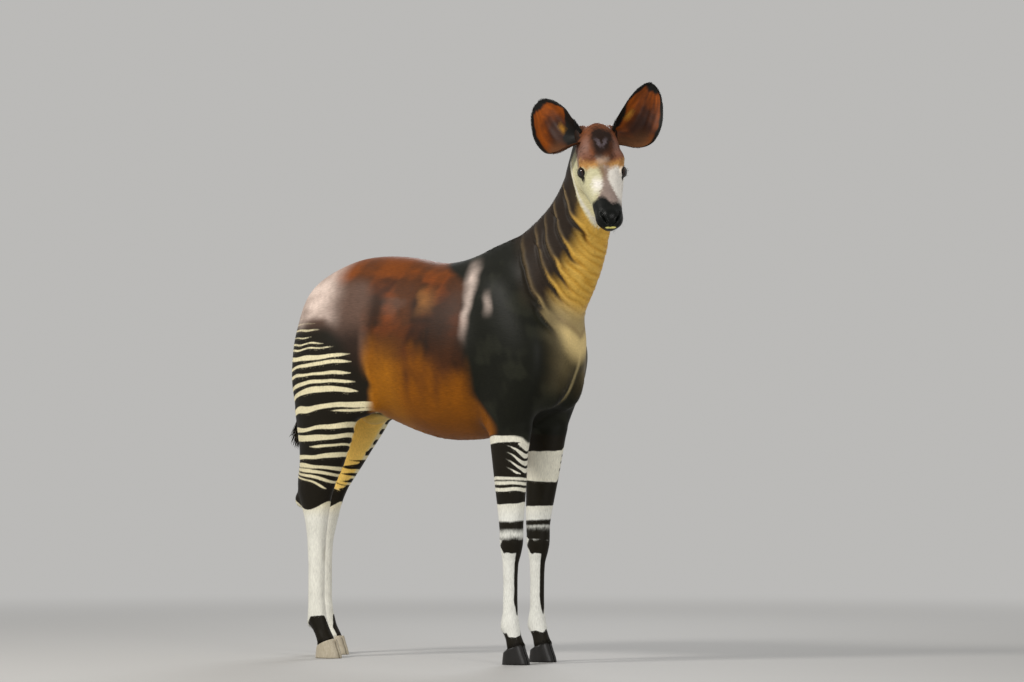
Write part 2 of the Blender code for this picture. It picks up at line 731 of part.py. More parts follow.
def hoof(name, foot, left, inner):
    """One toe's horn, from the coronet to a flat sole. inner is the side of the cleft, -1 or 1."""
    mesh = bmesh.new()
    loops = []
    for height, heel, toe, half in HOOF_ROWS:
        loop = []
        middle, reach = (toe + heel) / 2, (toe - heel) / 2
        for k in range(HOOF_SIDES):
            angle = math.pi * k / (HOOF_SIDES - 1) - math.pi / 2
            ahead = middle + reach * math.sin(angle)
            # The toe is pointed and turns a little in to the cleft
            out = half * max(0.0, math.cos(angle)) ** 0.75 * (1 - 0.16 * max(0.0, math.sin(angle)))
            loop.append(mesh.verts.new(place(foot + ahead, left - inner * (HOOF_CLEFT + out), height)))
        loops.append(loop)
    for a, b in zip(loops, loops[1:]):
        for k in range(HOOF_SIDES):
            j = (k + 1) % HOOF_SIDES
            mesh.faces.new((a[k], a[j], b[j], b[k]))
    mesh.faces.new(loops[0])
    mesh.faces.new(loops[-1])
    bmesh.ops.recalc_face_normals(mesh, faces=mesh.faces)
    data = bpy.data.meshes.new(name)
    mesh.to_mesh(data)
    mesh.free()
    obj = new_object(name, data)
    point, normal = coronet_cut(foot)
    block = slab("coronet", point, -normal, GAP / 2)
    combine(obj, block, "INTERSECT")
    bpy.data.objects.remove(block)
    return obj


# Tail

def tail_path():
    rows = [(-0.50, 1.425), (-0.565, 1.385), (-0.612, 1.30), (-0.632, 1.20), (-0.642, 1.10),
            (-0.646, 1.00), (-0.648, 0.93)]
    return [place(f, -0.004, z) for f, z in rows]


TAIL_RADII = (0.034, 0.028, 0.021, 0.016, 0.0135, 0.0125, 0.011)


def tail_pieces():
    points = tail_path()
    stations = []
    for i, point in enumerate(points):
        along = unit(points[min(i + 1, len(points) - 1)] - points[max(i - 1, 0)])
        up = unit(np.cross(LEFT, along))
        r = TAIL_RADII[i]
        stations.append((point, LEFT, up, r, r, r, 2.0, 2.0))
    return loft("tail", stations, steps=3, sides=12)


def lock(root, tip, radius, bend, flat, segments=4, sides=5):
    """A tapered lock of hair from root to tip that bows by bend."""
    along = unit(tip - root)
    across = unit(np.cross(along, flat))
    other = np.cross(across, along)
    mesh = bmesh.new()
    loops = []
    for i in range(segments):
        s = i / segments
        centre = root + (tip - root) * s + bend * math.sin(math.pi * s)
        r = radius * (0.75 + 0.5 * math.sin(math.pi * min(1, s * 1.4))) * (1 - s * 0.55)
        loop = []
        for k in range(sides):
            angle = 2 * math.pi * k / sides
            loop.append(mesh.verts.new(centre + across * r * math.cos(angle) + other * 0.62 * r * math.sin(angle)))
        loops.append(loop)
    for a, b in zip(loops, loops[1:]):
        for k in range(sides):
            j = (k + 1) % sides
            mesh.faces.new((a[k], a[j], b[j], b[k]))
    point = mesh.verts.new(tip)
    for k in range(sides):
        mesh.faces.new((loops[-1][k], loops[-1][(k + 1) % sides], point))
    mesh.faces.new(loops[0])
    bmesh.ops.recalc_face_normals(mesh, faces=mesh.faces)
    data = bpy.data.meshes.new("lock")
    mesh.to_mesh(data)
    mesh.free()
    return data


def tail_tuft(count=13):
    """Hair locks fused round a short core below the tail's end."""
    draw = random.Random(7)
    top = tail_path()[-1]
    core = blob("tuft_core", top - UP * 0.030, (0.015, 0.015, 0.036), segments=12, rings=8)
    group = bpy.data.collections.new("tuft_locks")
    bpy.context.scene.collection.children.link(group)
    for k in range(count):
        angle = 2 * math.pi * k / count * 2.4
        outward = place(math.cos(angle), math.sin(angle), 0)
        layer = k % 3
        root = top + outward * 0.006 - UP * (0.018 + 0.014 * layer)
        length = 0.085 + 0.022 * layer + draw.uniform(-0.012, 0.012)
        tip = root + outward * (0.014 - 0.004 * layer + draw.uniform(0, 0.006)) - UP * length
        data = lock(root, tip, 0.0085, outward * 0.007, outward)
        group.objects.link(bpy.data.objects.new("lock", data))
    boolean = core.modifiers.new("locks", "BOOLEAN")
    boolean.operation = "UNION"
    boolean.operand_type = "COLLECTION"
    boolean.collection = group
    boolean.solver = "MANIFOLD"
    bpy.context.view_layer.update()
    core.data = mesh_of(core)
    core.modifiers.clear()
    for obj in list(group.objects):
        bpy.data.objects.remove(obj)
    bpy.data.collections.remove(group)
    block = slab("tuft_top", top, -UP, GAP)
    combine(core, block, "INTERSECT")
    bpy.data.objects.remove(block)
    keep_largest(core)
    return core


# The whole animal

def opened_eye(head, side):
    """The almond between the lids, then the socket for the eyeball."""
    centre = eye_centre(side)
    gaze = unit(SIDE * side * 0.76 + NOSE * 0.46 + FACE * 0.42)
    long_way = unit(NOSE * 0.92 - FACE * 0.30 - gaze * ((NOSE * 0.92 - FACE * 0.30) @ gaze))
    short_way = np.cross(gaze, long_way)
    almond = blob("almond", centre + gaze * 0.022, (0.0190, 0.0135, 0.0150), axes=(long_way, short_way, gaze),
                  segments=20, rings=12)
    combine(head, almond, "DIFFERENCE")
    bpy.data.objects.remove(almond)
    socket = blob("socket", centre, (EYE_RADIUS + 0.0004,) * 3, axes=(long_way, short_way, gaze),
                  segments=20, rings=14)
    combine(head, socket, "DIFFERENCE")
    bpy.data.objects.remove(socket)
    ball = blob("eye", centre, (EYE_RADIUS,) * 3, axes=(long_way, short_way, gaze), segments=20, rings=14)
    return ball


def fitted(piece, host, way):
    """The piece with whatever lies in its host taken off, then moved out by one gap."""
    combine(piece, host, "DIFFERENCE")
    keep_largest(piece)
    set_coordinates(piece.data, coordinates(piece.data) + unit(way) * GAP * 1.3)


def centre_on_floor():
    """The whole model moved so that its box stands centred on the origin."""
    nodes = list(PARTS.objects)
    low = np.min([coordinates(obj.data).min(axis=0) for obj in nodes], axis=0)
    high = np.max([coordinates(obj.data).max(axis=0) for obj in nodes], axis=0)
    shift = np.array([-(low[0] + high[0]) / 2, -(low[1] + high[1]) / 2, -low[2]])
    print("moved by", [round(float(v), 5) for v in shift])
    for obj in nodes:
        set_coordinates(obj.data, coordinates(obj.data) + shift)


def build():
    names = {-1: "right", 1: "left"}
    flesh = torso_pieces() + neck_pieces()
    feet = {(-1, "fore"): FORE_FOOT, (1, "fore"): FORE_FOOT_LEFT,
            (-1, "hind"): HIND_FOOT_RIGHT, (1, "hind"): HIND_FOOT_LEFT}
    for side in (-1, 1):
        flesh += fore_leg(side, feet[side, "fore"], FORE_TRACK, 0.0 if side < 0 else 0.028)
        haunch, slant = (HAUNCH_RIGHT, 0.0) if side < 0 else (HAUNCH_LEFT, 0.025)
        flesh += hind_leg(side, feet[side, "hind"], HIND_TRACK, haunch, slant)
    body = fuse("body", flesh, BODY_VOXEL)
    ease(body, 60, body_softness)
    thin(body, FLESH_TRIANGLES)

    head = fuse("head_whole", head_pieces() + neck_pieces(), HEAD_VOXEL)
    ease(head, 85, head_softness)
    carve_head(head)
    head = part_off(head, "head", [HEAD_CUT])
    thin(head, HEAD_TRIANGLES)
    eyes = {side: opened_eye(head, side) for side in (-1, 1)}
    keep_largest(head)
    finish_node(head, "head", FACE_COAT)
    for side, ball in eyes.items():
        finish_node(ball, f"eye_{names[side]}", EYE)
    for side, leaf in ears().items():
        fitted(leaf, head, SIDE * side * 0.7 + UP)
        finish_node(leaf, f"ear_{names[side]}", EAR_COAT)

    def back(cut):
        return cut[0], -cut[1]

    neck = part_off(body, "neck", [NECK_CUT, back(HEAD_CUT)])
    finish_node(neck, "neck", NECK_COAT)
    torso = part_off(body, "torso", [back(NECK_CUT), back(ELBOW_CUT), back(STIFLE_CUT)])
    finish_node(torso, "torso", COAT)
    for side in (-1, 1):
        for pair, cut in (("fore", ELBOW_CUT), ("hind", STIFLE_CUT)):
            foot = feet[side, pair]
            inner_side = (place(0, 0, 0), LEFT * side)
            half = (place(0, 0, 0), AHEAD * (1 if pair == "fore" else -1))
            leg = part_off(body, f"{pair}leg_{names[side]}", [cut, inner_side, half, coronet_cut(foot)])
            finish_node(leg, f"{pair}leg_{names[side]}", LEG_COAT)
            track = side * (FORE_TRACK if pair == "fore" else HIND_TRACK)
            for inner, toe in ((side, "inner"), (-side, "outer")):
                claw = hoof("hoof", foot, track, inner)
                finish_node(claw, f"hoof_{pair}_{names[side]}_{toe}", HORN)

    tail = tail_pieces()
    fitted(tail, torso, place(-1, 0, 0.2))
    finish_node(tail, "tail", COAT)
    finish_node(tail_tuft(), "tail_tuft", TAIL_HAIR)
    for leftover in list(CUTTERS.objects):
        bpy.data.objects.remove(leftover)
    centre_on_floor()


build()
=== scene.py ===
import math

import bmesh
import bpy
import numpy as np
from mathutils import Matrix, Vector
from mathutils.bvhtree import BVHTree
from mathutils.kdtree import KDTree


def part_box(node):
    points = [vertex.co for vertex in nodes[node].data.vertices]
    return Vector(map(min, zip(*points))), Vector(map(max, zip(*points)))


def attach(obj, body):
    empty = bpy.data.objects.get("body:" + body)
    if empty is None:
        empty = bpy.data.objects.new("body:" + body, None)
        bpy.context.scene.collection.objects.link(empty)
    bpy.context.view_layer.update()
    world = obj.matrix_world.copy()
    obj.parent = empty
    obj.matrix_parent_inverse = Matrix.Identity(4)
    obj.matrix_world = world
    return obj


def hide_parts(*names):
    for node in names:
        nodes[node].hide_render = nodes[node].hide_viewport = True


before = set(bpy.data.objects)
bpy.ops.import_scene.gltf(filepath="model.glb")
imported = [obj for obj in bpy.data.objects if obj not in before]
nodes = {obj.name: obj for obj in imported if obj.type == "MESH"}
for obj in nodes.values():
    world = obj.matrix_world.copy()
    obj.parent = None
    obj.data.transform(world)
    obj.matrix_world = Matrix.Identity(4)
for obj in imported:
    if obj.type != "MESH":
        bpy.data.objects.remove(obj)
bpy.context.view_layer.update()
print("frame loaded")

# Where the animal's own zero, on the floor under its chest, lies in the frame
ownZero = {"x": 0.02495, "y": 0.1422}

# How the head is carried, in degrees, and where its eyes sit along and above the poll
headPose = {"turn": 45.0, "pitch": 50.0, "tilt": 3.0, "eyeAlong": 0.202, "eyeRise": -0.043}

up = np.array([0.0, 0.0, 1.0])
sideNames = {1: "left", -1: "right"}


def unit(v):
    v = np.asarray(v, float)
    return v / np.linalg.norm(v)


def unitRows(rows):
    return rows / np.maximum(np.linalg.norm(rows, axis=1), 1e-9)[:, None]


def flattened(ways, normals):
    # the ways with their share along the normals taken out
    return unitRows(ways - normals * np.sum(ways * normals, 1)[:, None])


def blend(a, b, share):
    share = share[:, None]
    return a * (1 - share) + b * share


def softStep(x, low, high):
    t = np.clip((x - low) / (high - low), 0, 1)
    return t * t * (3 - 2 * t)


def bump(x, middle, half):
    return softStep(half - np.abs(x - middle), 0, half)


def wobble(points, size, seed, octaves=2):
    # smooth waves in three directions, about -1 to 1
    draw = np.random.default_rng(seed)
    total, weight = np.zeros(len(points)), 1.0
    for _ in range(octaves):
        for _ in range(4):
            way = draw.normal(size=3)
            way /= np.linalg.norm(way)
            phase = draw.uniform(0, 2 * math.pi)
            total += weight * np.sin(points @ way * (2 * math.pi / size) * draw.uniform(0.7, 1.4) + phase)
        size, weight = size / 2.1, weight * 0.5
    return total / 3.0


def boxMiddle(name):
    low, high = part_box(name)
    return np.array((low + high) / 2)


def headWays():
    turn, pitch, tilt = (math.radians(headPose[k]) for k in ("turn", "pitch", "tilt"))
    heading = np.array([-math.sin(turn), -math.cos(turn), 0.0])
    nose = unit(heading * math.cos(pitch) - up * math.sin(pitch))
    face = unit(heading * math.sin(pitch) + up * math.cos(pitch))
    side = np.array([math.cos(turn), -math.sin(turn), 0.0])
    return nose, face * math.cos(tilt) - side * math.sin(tilt), side * math.cos(tilt) + face * math.sin(tilt)


noseWay, faceWay, sideWay = headWays()
eyeMiddles = {1: boxMiddle("eye_left"), -1: boxMiddle("eye_right")}
eyeRadius = (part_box("eye_left")[1].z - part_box("eye_left")[0].z) / 2
pollPoint = ((eyeMiddles[1] + eyeMiddles[-1]) / 2 - noseWay * headPose["eyeAlong"]
             - faceWay * headPose["eyeRise"])


def headPoint(along, rise, left):
    return pollPoint + noseWay * along + faceWay * rise + sideWay * left


def headSpace(points):
    d = points - pollPoint
    return d @ noseWay, d @ faceWay, d @ sideWay


def ownSpace(points):
    return ownZero["y"] - points[:, 1], points[:, 0] - ownZero["x"], points[:, 2]


def ownPoint(forward, left, height):
    return np.array([left + ownZero["x"], ownZero["y"] - forward, height])


def aim(obj, place, target):
    obj.location = place
    way = Vector(target) - Vector(place)
    obj.rotation_euler = way.to_track_quat("-Z", "Y").to_euler()
    bpy.context.scene.collection.objects.link(obj)


# Camera, at the photograph's angle: low, from the animal's right and ahead
camera = {"place": (-9.597, -7.206, 0.6), "target": (0.1112, -0.1531, 1.19), "lens": 113.2, "sensor": 36.0}


def makeCamera():
    data = bpy.data.cameras.new("camera")
    data.lens = camera["lens"]
    data.sensor_width = camera["sensor"]
    data.clip_end = 200
    cam = bpy.data.objects.new("camera", data)
    aim(cam, camera["place"], camera["target"])
    bpy.context.scene.camera = cam


makeCamera()
print("camera placed")


# Mesh helpers

def pointsOf(mesh):
    flat = np.empty(len(mesh.vertices) * 3, np.float32)
    mesh.vertices.foreach_get("co", flat)
    return flat.reshape(-1, 3).astype(float)


def setPoints(mesh, points):
    mesh.vertices.foreach_set("co", points.astype(np.float32).ravel())
    mesh.update()


def normalsOf(mesh):
    flat = np.empty(len(mesh.vertices) * 3, np.float32)
    mesh.vertex_normals.foreach_get("vector", flat)
    return flat.reshape(-1, 3).astype(float)


def edgesOf(mesh):
    flat = np.empty(len(mesh.edges) * 2, np.int32)
    mesh.edges.foreach_get("vertices", flat)
    return flat.reshape(-1, 2)


def relax(points, edges, rounds, share):
    # each point moves a share of the way to the middle of its neighbours
    a, b = edges[:, 0], edges[:, 1]
    count = np.bincount(a, minlength=len(points)) + np.bincount(b, minlength=len(points))
    for _ in range(rounds):
        total = np.stack([np.bincount(a, points[b, k], len(points))
                          + np.bincount(b, points[a, k], len(points)) for k in range(3)], 1)
        points = points + (total / np.maximum(count, 1)[:, None] - points) * share[:, None]
    return points


def newObject(name, mesh):
    obj = bpy.data.objects.new(name, mesh)
    bpy.context.scene.collection.objects.link(obj)
    return obj


def meshFrom(name, points, faces):
    mesh = bpy.data.meshes.new(name)
    mesh.from_pydata([tuple(p) for p in points], [], [tuple(f) for f in faces])
    mesh.update()
    return mesh


def bulkMesh(name, points, triangles):
    # many triangles at once, by arrays
    mesh = bpy.data.meshes.new(name)
    mesh.vertices.add(len(points))
    mesh.vertices.foreach_set("co", points.astype(np.float32).ravel())
    mesh.loops.add(len(triangles) * 3)
    mesh.loops.foreach_set("vertex_index", triangles.astype(np.int32).ravel())
    mesh.polygons.add(len(triangles))
    mesh.polygons.foreach_set("loop_start", np.arange(0, len(triangles) * 3, 3, dtype=np.int32))
    mesh.polygons.foreach_set("use_smooth", np.ones(len(triangles), bool))
    mesh.update(calc_edges=True)
    return mesh


def setFloats(mesh, name, values):
    layer = mesh.attributes.get(name) or mesh.attributes.new(name, "FLOAT", "POINT")
    layer.data.foreach_set("value", np.asarray(values, np.float32))


def setColours(mesh, name, values):
    layer = mesh.attributes.get(name) or mesh.attributes.new(name, "FLOAT_COLOR", "POINT")
    rows = np.concatenate([values, np.ones((len(values), 1))], 1)
    layer.data.foreach_set("color", rows.astype(np.float32).ravel())


def remeshed(obj, voxel):
    change = obj.modifiers.new("remesh", "REMESH")
    change.mode = "VOXEL"
    change.voxel_size = voxel
    graph = bpy.context.evaluated_depsgraph_get()
    mesh = bpy.data.meshes.new_from_object(obj.evaluated_get(graph))
    bpy.data.objects.remove(obj)
    return mesh


def cleanNode(name, swell):
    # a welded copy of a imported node's mesh, swollen so that neighbours overlap
    work = bmesh.new()
    work.from_mesh(nodes[name].data)
    bmesh.ops.remove_doubles(work, verts=work.verts, dist=1e-5)
    work.normal_update()
    points = np.array([v.co + v.normal * swell for v in work.verts])
    faces = [[v.index for v in f.verts] for f in work.faces]
    work.free()
    return points, faces


# Skin: one closed surface over all the nodes of flesh

skin = {
    "voxel": 0.0048,       # size of its first faces
    "swell": 0.0015,       # closes the gaps between nodes
    "bodyDepth": 0.0040,   # how far it lies inside the solids, for the coat
    "legDepth": 0.0022,
    "headDepth": 0.0014,
    # rounds of smoothing: over all, of the legs and tail, of the body, of the limbs' last
    # unevenness, and of the depth's edges
    "rounds": {"all": 8, "limb": 6, "body": 52, "last": 10, "depth": 20},
}
# a point belongs to the part with its number: 0 torso, 1 neck, 2 head, 3 tail, 4 to 7 legs
fleshNames = ["torso", "neck", "head", "tail"]
fleshNames += [f"{leg}_{side}" for leg in ("foreleg", "hindleg") for side in ("left", "right")]


def firstSkin():
    points, faces = [], []
    for name in fleshNames + ["eye_left", "eye_right"]:
        found, rings = cleanNode(name, skin["swell"])
        start = len(points)
        points.extend(found)
        faces.extend([[i + start for i in ring] for ring in rings])
    return remeshed(newObject("rough_skin", meshFrom("rough_skin", points, faces)), skin["voxel"])


def nearestNodes(points):
    # which node of flesh each point belongs to
    corners, faces, owner = [], [], []
    for k, name in enumerate(fleshNames):
        found, rings = cleanNode(name, 0.0)
        start = len(corners)
        corners.extend(found)
        faces.extend([[i + start for i in ring] for ring in rings])
        owner.extend([k] * len(rings))
    tree = BVHTree.FromPolygons([Vector(c) for c in corners], faces)
    return np.array([owner[tree.find_nearest(Vector(p))[2]] for p in points])


def pathDistance(points, path):
    best = np.full(len(points), 1e9)
    for a, b in zip(path, path[1:]):
        a, b = np.asarray(a, float), np.asarray(b, float)
        way = b - a
        t = np.clip((points - a) @ way / (way @ way), 0, 1)
        best = np.minimum(best, np.linalg.norm(points - a - t[:, None] * way, axis=1))
    return best


def subdivideWhere(mesh, chosen):
    work = bmesh.new()
    work.from_mesh(mesh)
    work.verts.ensure_lookup_table()
    edges = [e for e in work.edges if chosen[e.verts[0].index] and chosen[e.verts[1].index]]
    bmesh.ops.subdivide_edges(work, edges=edges, cuts=1, use_grid_fill=True)
    work.to_mesh(mesh)
    work.free()
    mesh.update()


def headShare(points):
    along, _, left = headSpace(points)
    near = softStep(along, -0.10, -0.02) * softStep(points[:, 2], 1.50, 1.56)
    return near * softStep(0.26 - np.abs(left), 0, 0.05)


def roundedSkin(mesh):
    owner = nearestNodes(pointsOf(mesh))
    isLeg = owner >= 4
    head, tail = owner == fleshNames.index("head"), owner == fleshNames.index("tail")
    share = np.where(head, 0.42, np.where(tail, 0.35, np.where(isLeg, 0.40, 0.6)))
    rounds, edges = skin["rounds"], edgesOf(mesh)
    points = relax(pointsOf(mesh), edges, rounds["all"], share)
    for _ in range(rounds["limb"]):
        # the legs keep their girth: each smoothing is followed by a like one outwards
        points = relax(points, edges, 1, np.where(isLeg | tail, 0.5, 0.0))
        points = relax(points, edges, 1, np.where(isLeg | tail, -0.51, 0.0))
    points = relax(points, edges, rounds["body"], np.where(head | tail | isLeg, 0.0, 0.6))
    soft = np.where(head | tail | isLeg, 0.12, 0.0)
    points = relax(points, edges, rounds["last"], soft)
    setPoints(mesh, points)
    depth = np.where(head, skin["headDepth"], np.where(isLeg | tail, skin["legDepth"], skin["bodyDepth"]))
    depth = np.repeat(depth[:, None], 3, 1)
    depth = relax(depth, edges, rounds["depth"], np.full(len(points), 0.6))[:, 0]
    points = points - normalsOf(mesh) * (depth + skin["swell"])[:, None]
    setPoints(mesh, points)


skinMesh = firstSkin()
roundedSkin(skinMesh)
print("skin rounded", len(skinMesh.vertices))

# Head, refined twice and then shaped

subdivideWhere(skinMesh, headShare(pointsOf(skinMesh)) > 0.4)


def fineShare(points):
    along = headSpace(points)[0]
    front = softStep(along, 0.325, 0.345)
    eyes = np.zeros(len(points))
    for side in (-1, 1):
        eyes = np.maximum(eyes, softStep(0.050 - np.linalg.norm(points - eyeMiddles[side], axis=1), 0,
                                         0.004))
    return np.maximum(front, eyes) * headShare(points)


points = relax(pointsOf(skinMesh), edgesOf(skinMesh), 4, headShare(pointsOf(skinMesh)) * 0.5)
setPoints(skinMesh, points)
subdivideWhere(skinMesh, fineShare(points) > 0.5)
points = relax(pointsOf(skinMesh), edgesOf(skinMesh), 3, headShare(pointsOf(skinMesh)) * 0.5)
setPoints(skinMesh, points)
print("head refined", len(skinMesh.vertices))

lids = {
    "halfWidth": 0.84,      # of the opening, as shares of the eye's radius
    "top": 0.64,
    "low": 0.52,
    "thickness": 0.0016,
    "blend": 0.015,
    "slant": 18.0,          # the inner corner lies lower, degrees
    "gaze": (0.76, 0.46, 0.42),      # out to the side, along the nose and up from the face
}


def gazeWay(side):
    out, along, rise = lids["gaze"]
    return unit(sideWay * side * out + noseWay * along + faceWay * rise)


def eyeWays(side):
    # gaze, the way from the outer to the inner corner, and up the lids
    gaze = gazeWay(side)
    inner = unit(noseWay - gaze * (noseWay @ gaze))
    lift = unit(faceWay - gaze * (faceWay @ gaze) - inner * (faceWay @ inner))
    turn = math.radians(lids["slant"])
    return (gaze, inner * math.cos(turn) - lift * math.sin(turn),
            lift * math.cos(turn) + inner * math.sin(turn))


def lidGap(x, y):
    # signed height past the opening's margin, in eye radii: above 0 is lid
    span = np.clip(1 - (x / lids["halfWidth"]) ** 2, 0, 1)
    over = y - lids["top"] * span ** 0.75
    under = -lids["low"] * span ** 0.85 - y
    beyond = np.abs(x) - lids["halfWidth"]
    return np.maximum(np.maximum(over, under), beyond)


def shapeLids(points, side):
    gaze, inner, lift = eyeWays(side)
    d = points - eyeMiddles[side]
    r = np.linalg.norm(d, axis=1)
    way = d / np.maximum(r, 1e-9)[:, None]
    near = (r < 0.05) & (way @ gaze > 0.1)
    x, y = way @ inner, way @ lift
    gap = lidGap(x, y) * eyeRadius
    lid = eyeRadius + lids["thickness"] * softStep(gap, -0.0002, 0.0012)
    # a soft roll above the upper lid, then the crease under the brow
    above = softStep(y, 0.0, 0.35)
    lid = lid + above * (0.0022 * bump(gap, 0.0040, 0.0036) - 0.0016 * bump(gap, 0.0095, 0.0035))
    lid = lid + (1 - above) * (0.0012 * bump(gap, 0.0034, 0.003) - 0.0009 * bump(gap, 0.0078, 0.003))
    keep = softStep(gap, 0.003, lids["blend"])
    target = lid * (1 - keep) + r * keep
    inside = softStep(-gap, 0.0, 0.0012)
    target = target * (1 - inside) + (eyeRadius - 0.005) * inside
    facing = softStep(way @ gaze, 0.1, 0.35)
    target = target * facing + r * (1 - facing)
    return np.where(near[:, None], eyeMiddles[side] + way * target[:, None], points)


muzzle = {
    # how wide and how deep each line is pressed in, and the roll beside it: from, to, height
    "mouth": {"radius": 0.0034, "depth": 0.0050, "roll": (0.0020, 0.0110, 0.0013)},
    "nostril": {"radius": 0.0058, "depth": 0.0100, "roll": (0.0035, 0.0125, 0.0016)},
    "tear": {"radius": 0.010, "depth": 0.0022},
    "lipGroove": {"radius": 0.005, "depth": 0.0022},
}


def press(points, path, rule, way):
    share = np.clip(1 - (pathDistance(points, path) / rule["radius"]) ** 2, 0, 1) ** 2
    return points + share[:, None] * rule["depth"] * np.asarray(way)


def swellAlong(points, normals, path, near, far, height):
    # a soft roll beside a line, highest half way between near and far
    distance = pathDistance(points, path)
    share = bump(distance, (near + far) / 2, (far - near) / 2)
    return points + normals * (share * height)[:, None]


def mouthPath(side):
    rows = [(0.470, -0.053, 0.0), (0.462, -0.056, 0.016), (0.442, -0.064, 0.030), (0.410, -0.071, 0.040),
            (0.375, -0.072, 0.044), (0.345, -0.068, 0.047)]
    return [headPoint(a, r, side * w) for a, r, w in rows]


def nostrilPath(side):
    rows = [(0.459, -0.041, 0.013), (0.452, -0.032, 0.022), (0.440, -0.025, 0.030), (0.424, -0.023, 0.036)]
    return [headPoint(a, r, side * w) for a, r, w in rows]


def shapeFace(mesh):
    points = pointsOf(mesh)
    for side in (-1, 1):
        normals = normalsOf(mesh)
        mouth, nostril = mouthPath(side), nostrilPath(side)
        points = swellAlong(points, normals, nostril, *muzzle["nostril"]["roll"])
        points = swellAlong(points, normals, mouth, *muzzle["mouth"]["roll"])
        points = press(points, mouth, muzzle["mouth"], unit(-sideWay * side - noseWay * 0.35))
        points = press(points, nostril, muzzle["nostril"],
                       unit(-noseWay - faceWay * 0.35 - sideWay * side * 0.35))
        # tear groove below the inner corner
        tear = [headPoint(0.232, -0.048, side * 0.066), headPoint(0.275, -0.066, side * 0.060)]
        points = press(points, tear, muzzle["tear"], -sideWay * side)
        points = shapeLids(points, side)
        setPoints(mesh, points)
    groove = [headPoint(0.474, -0.044, 0), headPoint(0.472, -0.058, 0)]
    points = press(pointsOf(mesh), groove, muzzle["lipGroove"], -noseWay)
    setPoints(mesh, points)


shapeFace(skinMesh)
print("face shaped")

# Neck folds

neckRows = [(0.36, 0.0, 1.26), (0.485, 0.0, 1.375), (0.585, -0.004, 1.495), (0.660, -0.014, 1.610),
            (0.712, -0.030, 1.710), (0.745, -0.048, 1.800), (0.765, -0.066, 1.880)]
folds = {
    "places": (0.134, 0.217, 0.273, 0.350, 0.441),   # up the neck, less the sweep round it
    "sweep": 0.056,      # metres up the neck for each radian towards the nape
    "width": 0.0085,
    "crest": 0.0016,
    "groove": 0.0052,
    "ring": 0.0275,      # spacing of the throat's rings
    "ringHeight": 0.0016,
}


def neckSpace(points):
    # length up the neck's middle line, and the angle round it: 0 at the throat, pi at the nape
    path = [ownPoint(*row) for row in neckRows]
    best = np.full(len(points), 1e9)
    length, angle = np.zeros(len(points)), np.zeros(len(points))
    sideOut = np.zeros(len(points))
    start = 0.0
    for a, b in zip(path, path[1:]):
        way = b - a
        size = np.linalg.norm(way)
        t = (points - a) @ way / size ** 2
        held = np.clip(t, 0 if a is not path[0] else -1, 1)
        off = points - a - held[:, None] * way
        distance = np.linalg.norm(off, axis=1)
        along = unit(way)
        leftWay = unit(np.array([1.0, 0, 0]) - along * along[0])
        back = np.cross(along, leftWay)
        back = back if back[1] > 0 else -back
        closer = distance < best
        best = np.where(closer, distance, best)
        length = np.where(closer, start + held * size, length)
        turn = np.arctan2(np.abs(off @ leftWay), -(off @ back))
        angle = np.where(closer, turn, angle)
        sideOut = np.where(closer, off @ leftWay, sideOut)
        start += size
    return length, angle, sideOut


def foldWave(points):
    # crests and grooves of the side folds, the throat's rings, and where on the neck each point lies
    length, angle, sideOut = neckSpace(points)
    place = length - folds["sweep"] * angle + 0.006 * wobble(points, 0.16, 5)
    crest, groove = np.zeros(len(points)), np.zeros(len(points))
    for middle in folds["places"]:
        crest = np.maximum(crest, np.exp(-((place - middle) / folds["width"]) ** 2))
        groove = np.maximum(groove, np.exp(-((place - middle + 0.014) / folds["width"]) ** 2))
    zone = softStep(angle, 0.25, 0.7) * softStep(2.95 - angle, 0, 0.5) * softStep(0.64 - length, 0, 0.05)
    zone = zone * np.where(sideOut > 0, 0.45, 1.0)
    turn = wobble(points, 0.11, 6)
    ring = np.cos(2 * math.pi * place / folds["ring"] + 1.1 * turn) * (0.75 + 0.35 * wobble(points, 0.09, 7))
    ring = (ring * softStep(1.25 - angle, 0, 0.6) * softStep(length, 0.17, 0.22)
            * softStep(0.52 - length, 0, 0.05))
    return crest * zone, groove * zone, ring, length, angle


def shapeNeck(mesh):
    points = pointsOf(mesh)
    crest, groove, ring = foldWave(points)[:3]
    out = (crest * folds["crest"] - groove * folds["groove"]
           + (ring - 0.6 * np.abs(ring)) * folds["ringHeight"])
    setPoints(mesh, points + normalsOf(mesh) * out[:, None])


shapeNeck(skinMesh)
print("neck folded")


# Markings: colours of the coat over the whole skin, and fields for the sharp stripes

def tone(code):
    parts = [int(code[i:i + 2], 16) / 255 for i in (0, 2, 4)]
    return np.array([p / 12.92 if p <= 0.04045 else ((p + 0.055) / 1.055) ** 2.4 for p in parts])


coat = {
    "shoulder": "11120a", "shoulderSheen": "24251b", "rib": "4a2810", "ribShade": "170d05",
    "ribLight": "9a6632", "rufous": "7c3c10", "backLine": "733a0c", "belly": "824a04",
    "flank": "a06410", "paintedSheen": "d8c4b8", "hip": "594338", "groin": "c9a958", "flankLine": "b8740f",
    "thighFront": "1c120b", "neck": "241a11", "neckTintAndHighlight": "86714f", "throat": "bb8c2f",
    "throatPaleAndHighlight": "d8b45e", "throatShade": "8a5a18", "breast": "cfbc88", "breastSheen": "857550",
    "white": "dedfda", "cream": "ddd3ae", "tan": "efca6c", "crown": "6c3d22", "crownSide": "7c5c50",
    "brow": "bd8d50", "whorl": "1c110c", "whorlGrey": "8a8088", "cheek": "b9b491",
    "cheekWhite": "d9d4cb", "bridge": "765c4a", "muzzleGrey": "85766f", "nose": "0b0d0b",
    "lip": "dcd37c", "jaw": "d8cfa4", "ink": "18140b", "earOrange": "8c4407", "earDark": "240e04",
    "earLow": "5a3c26", "earBlack": "0e0d0a", "earTuft": "b07c2a",
}
coat = {name: tone(code) for name, code in coat.items()}

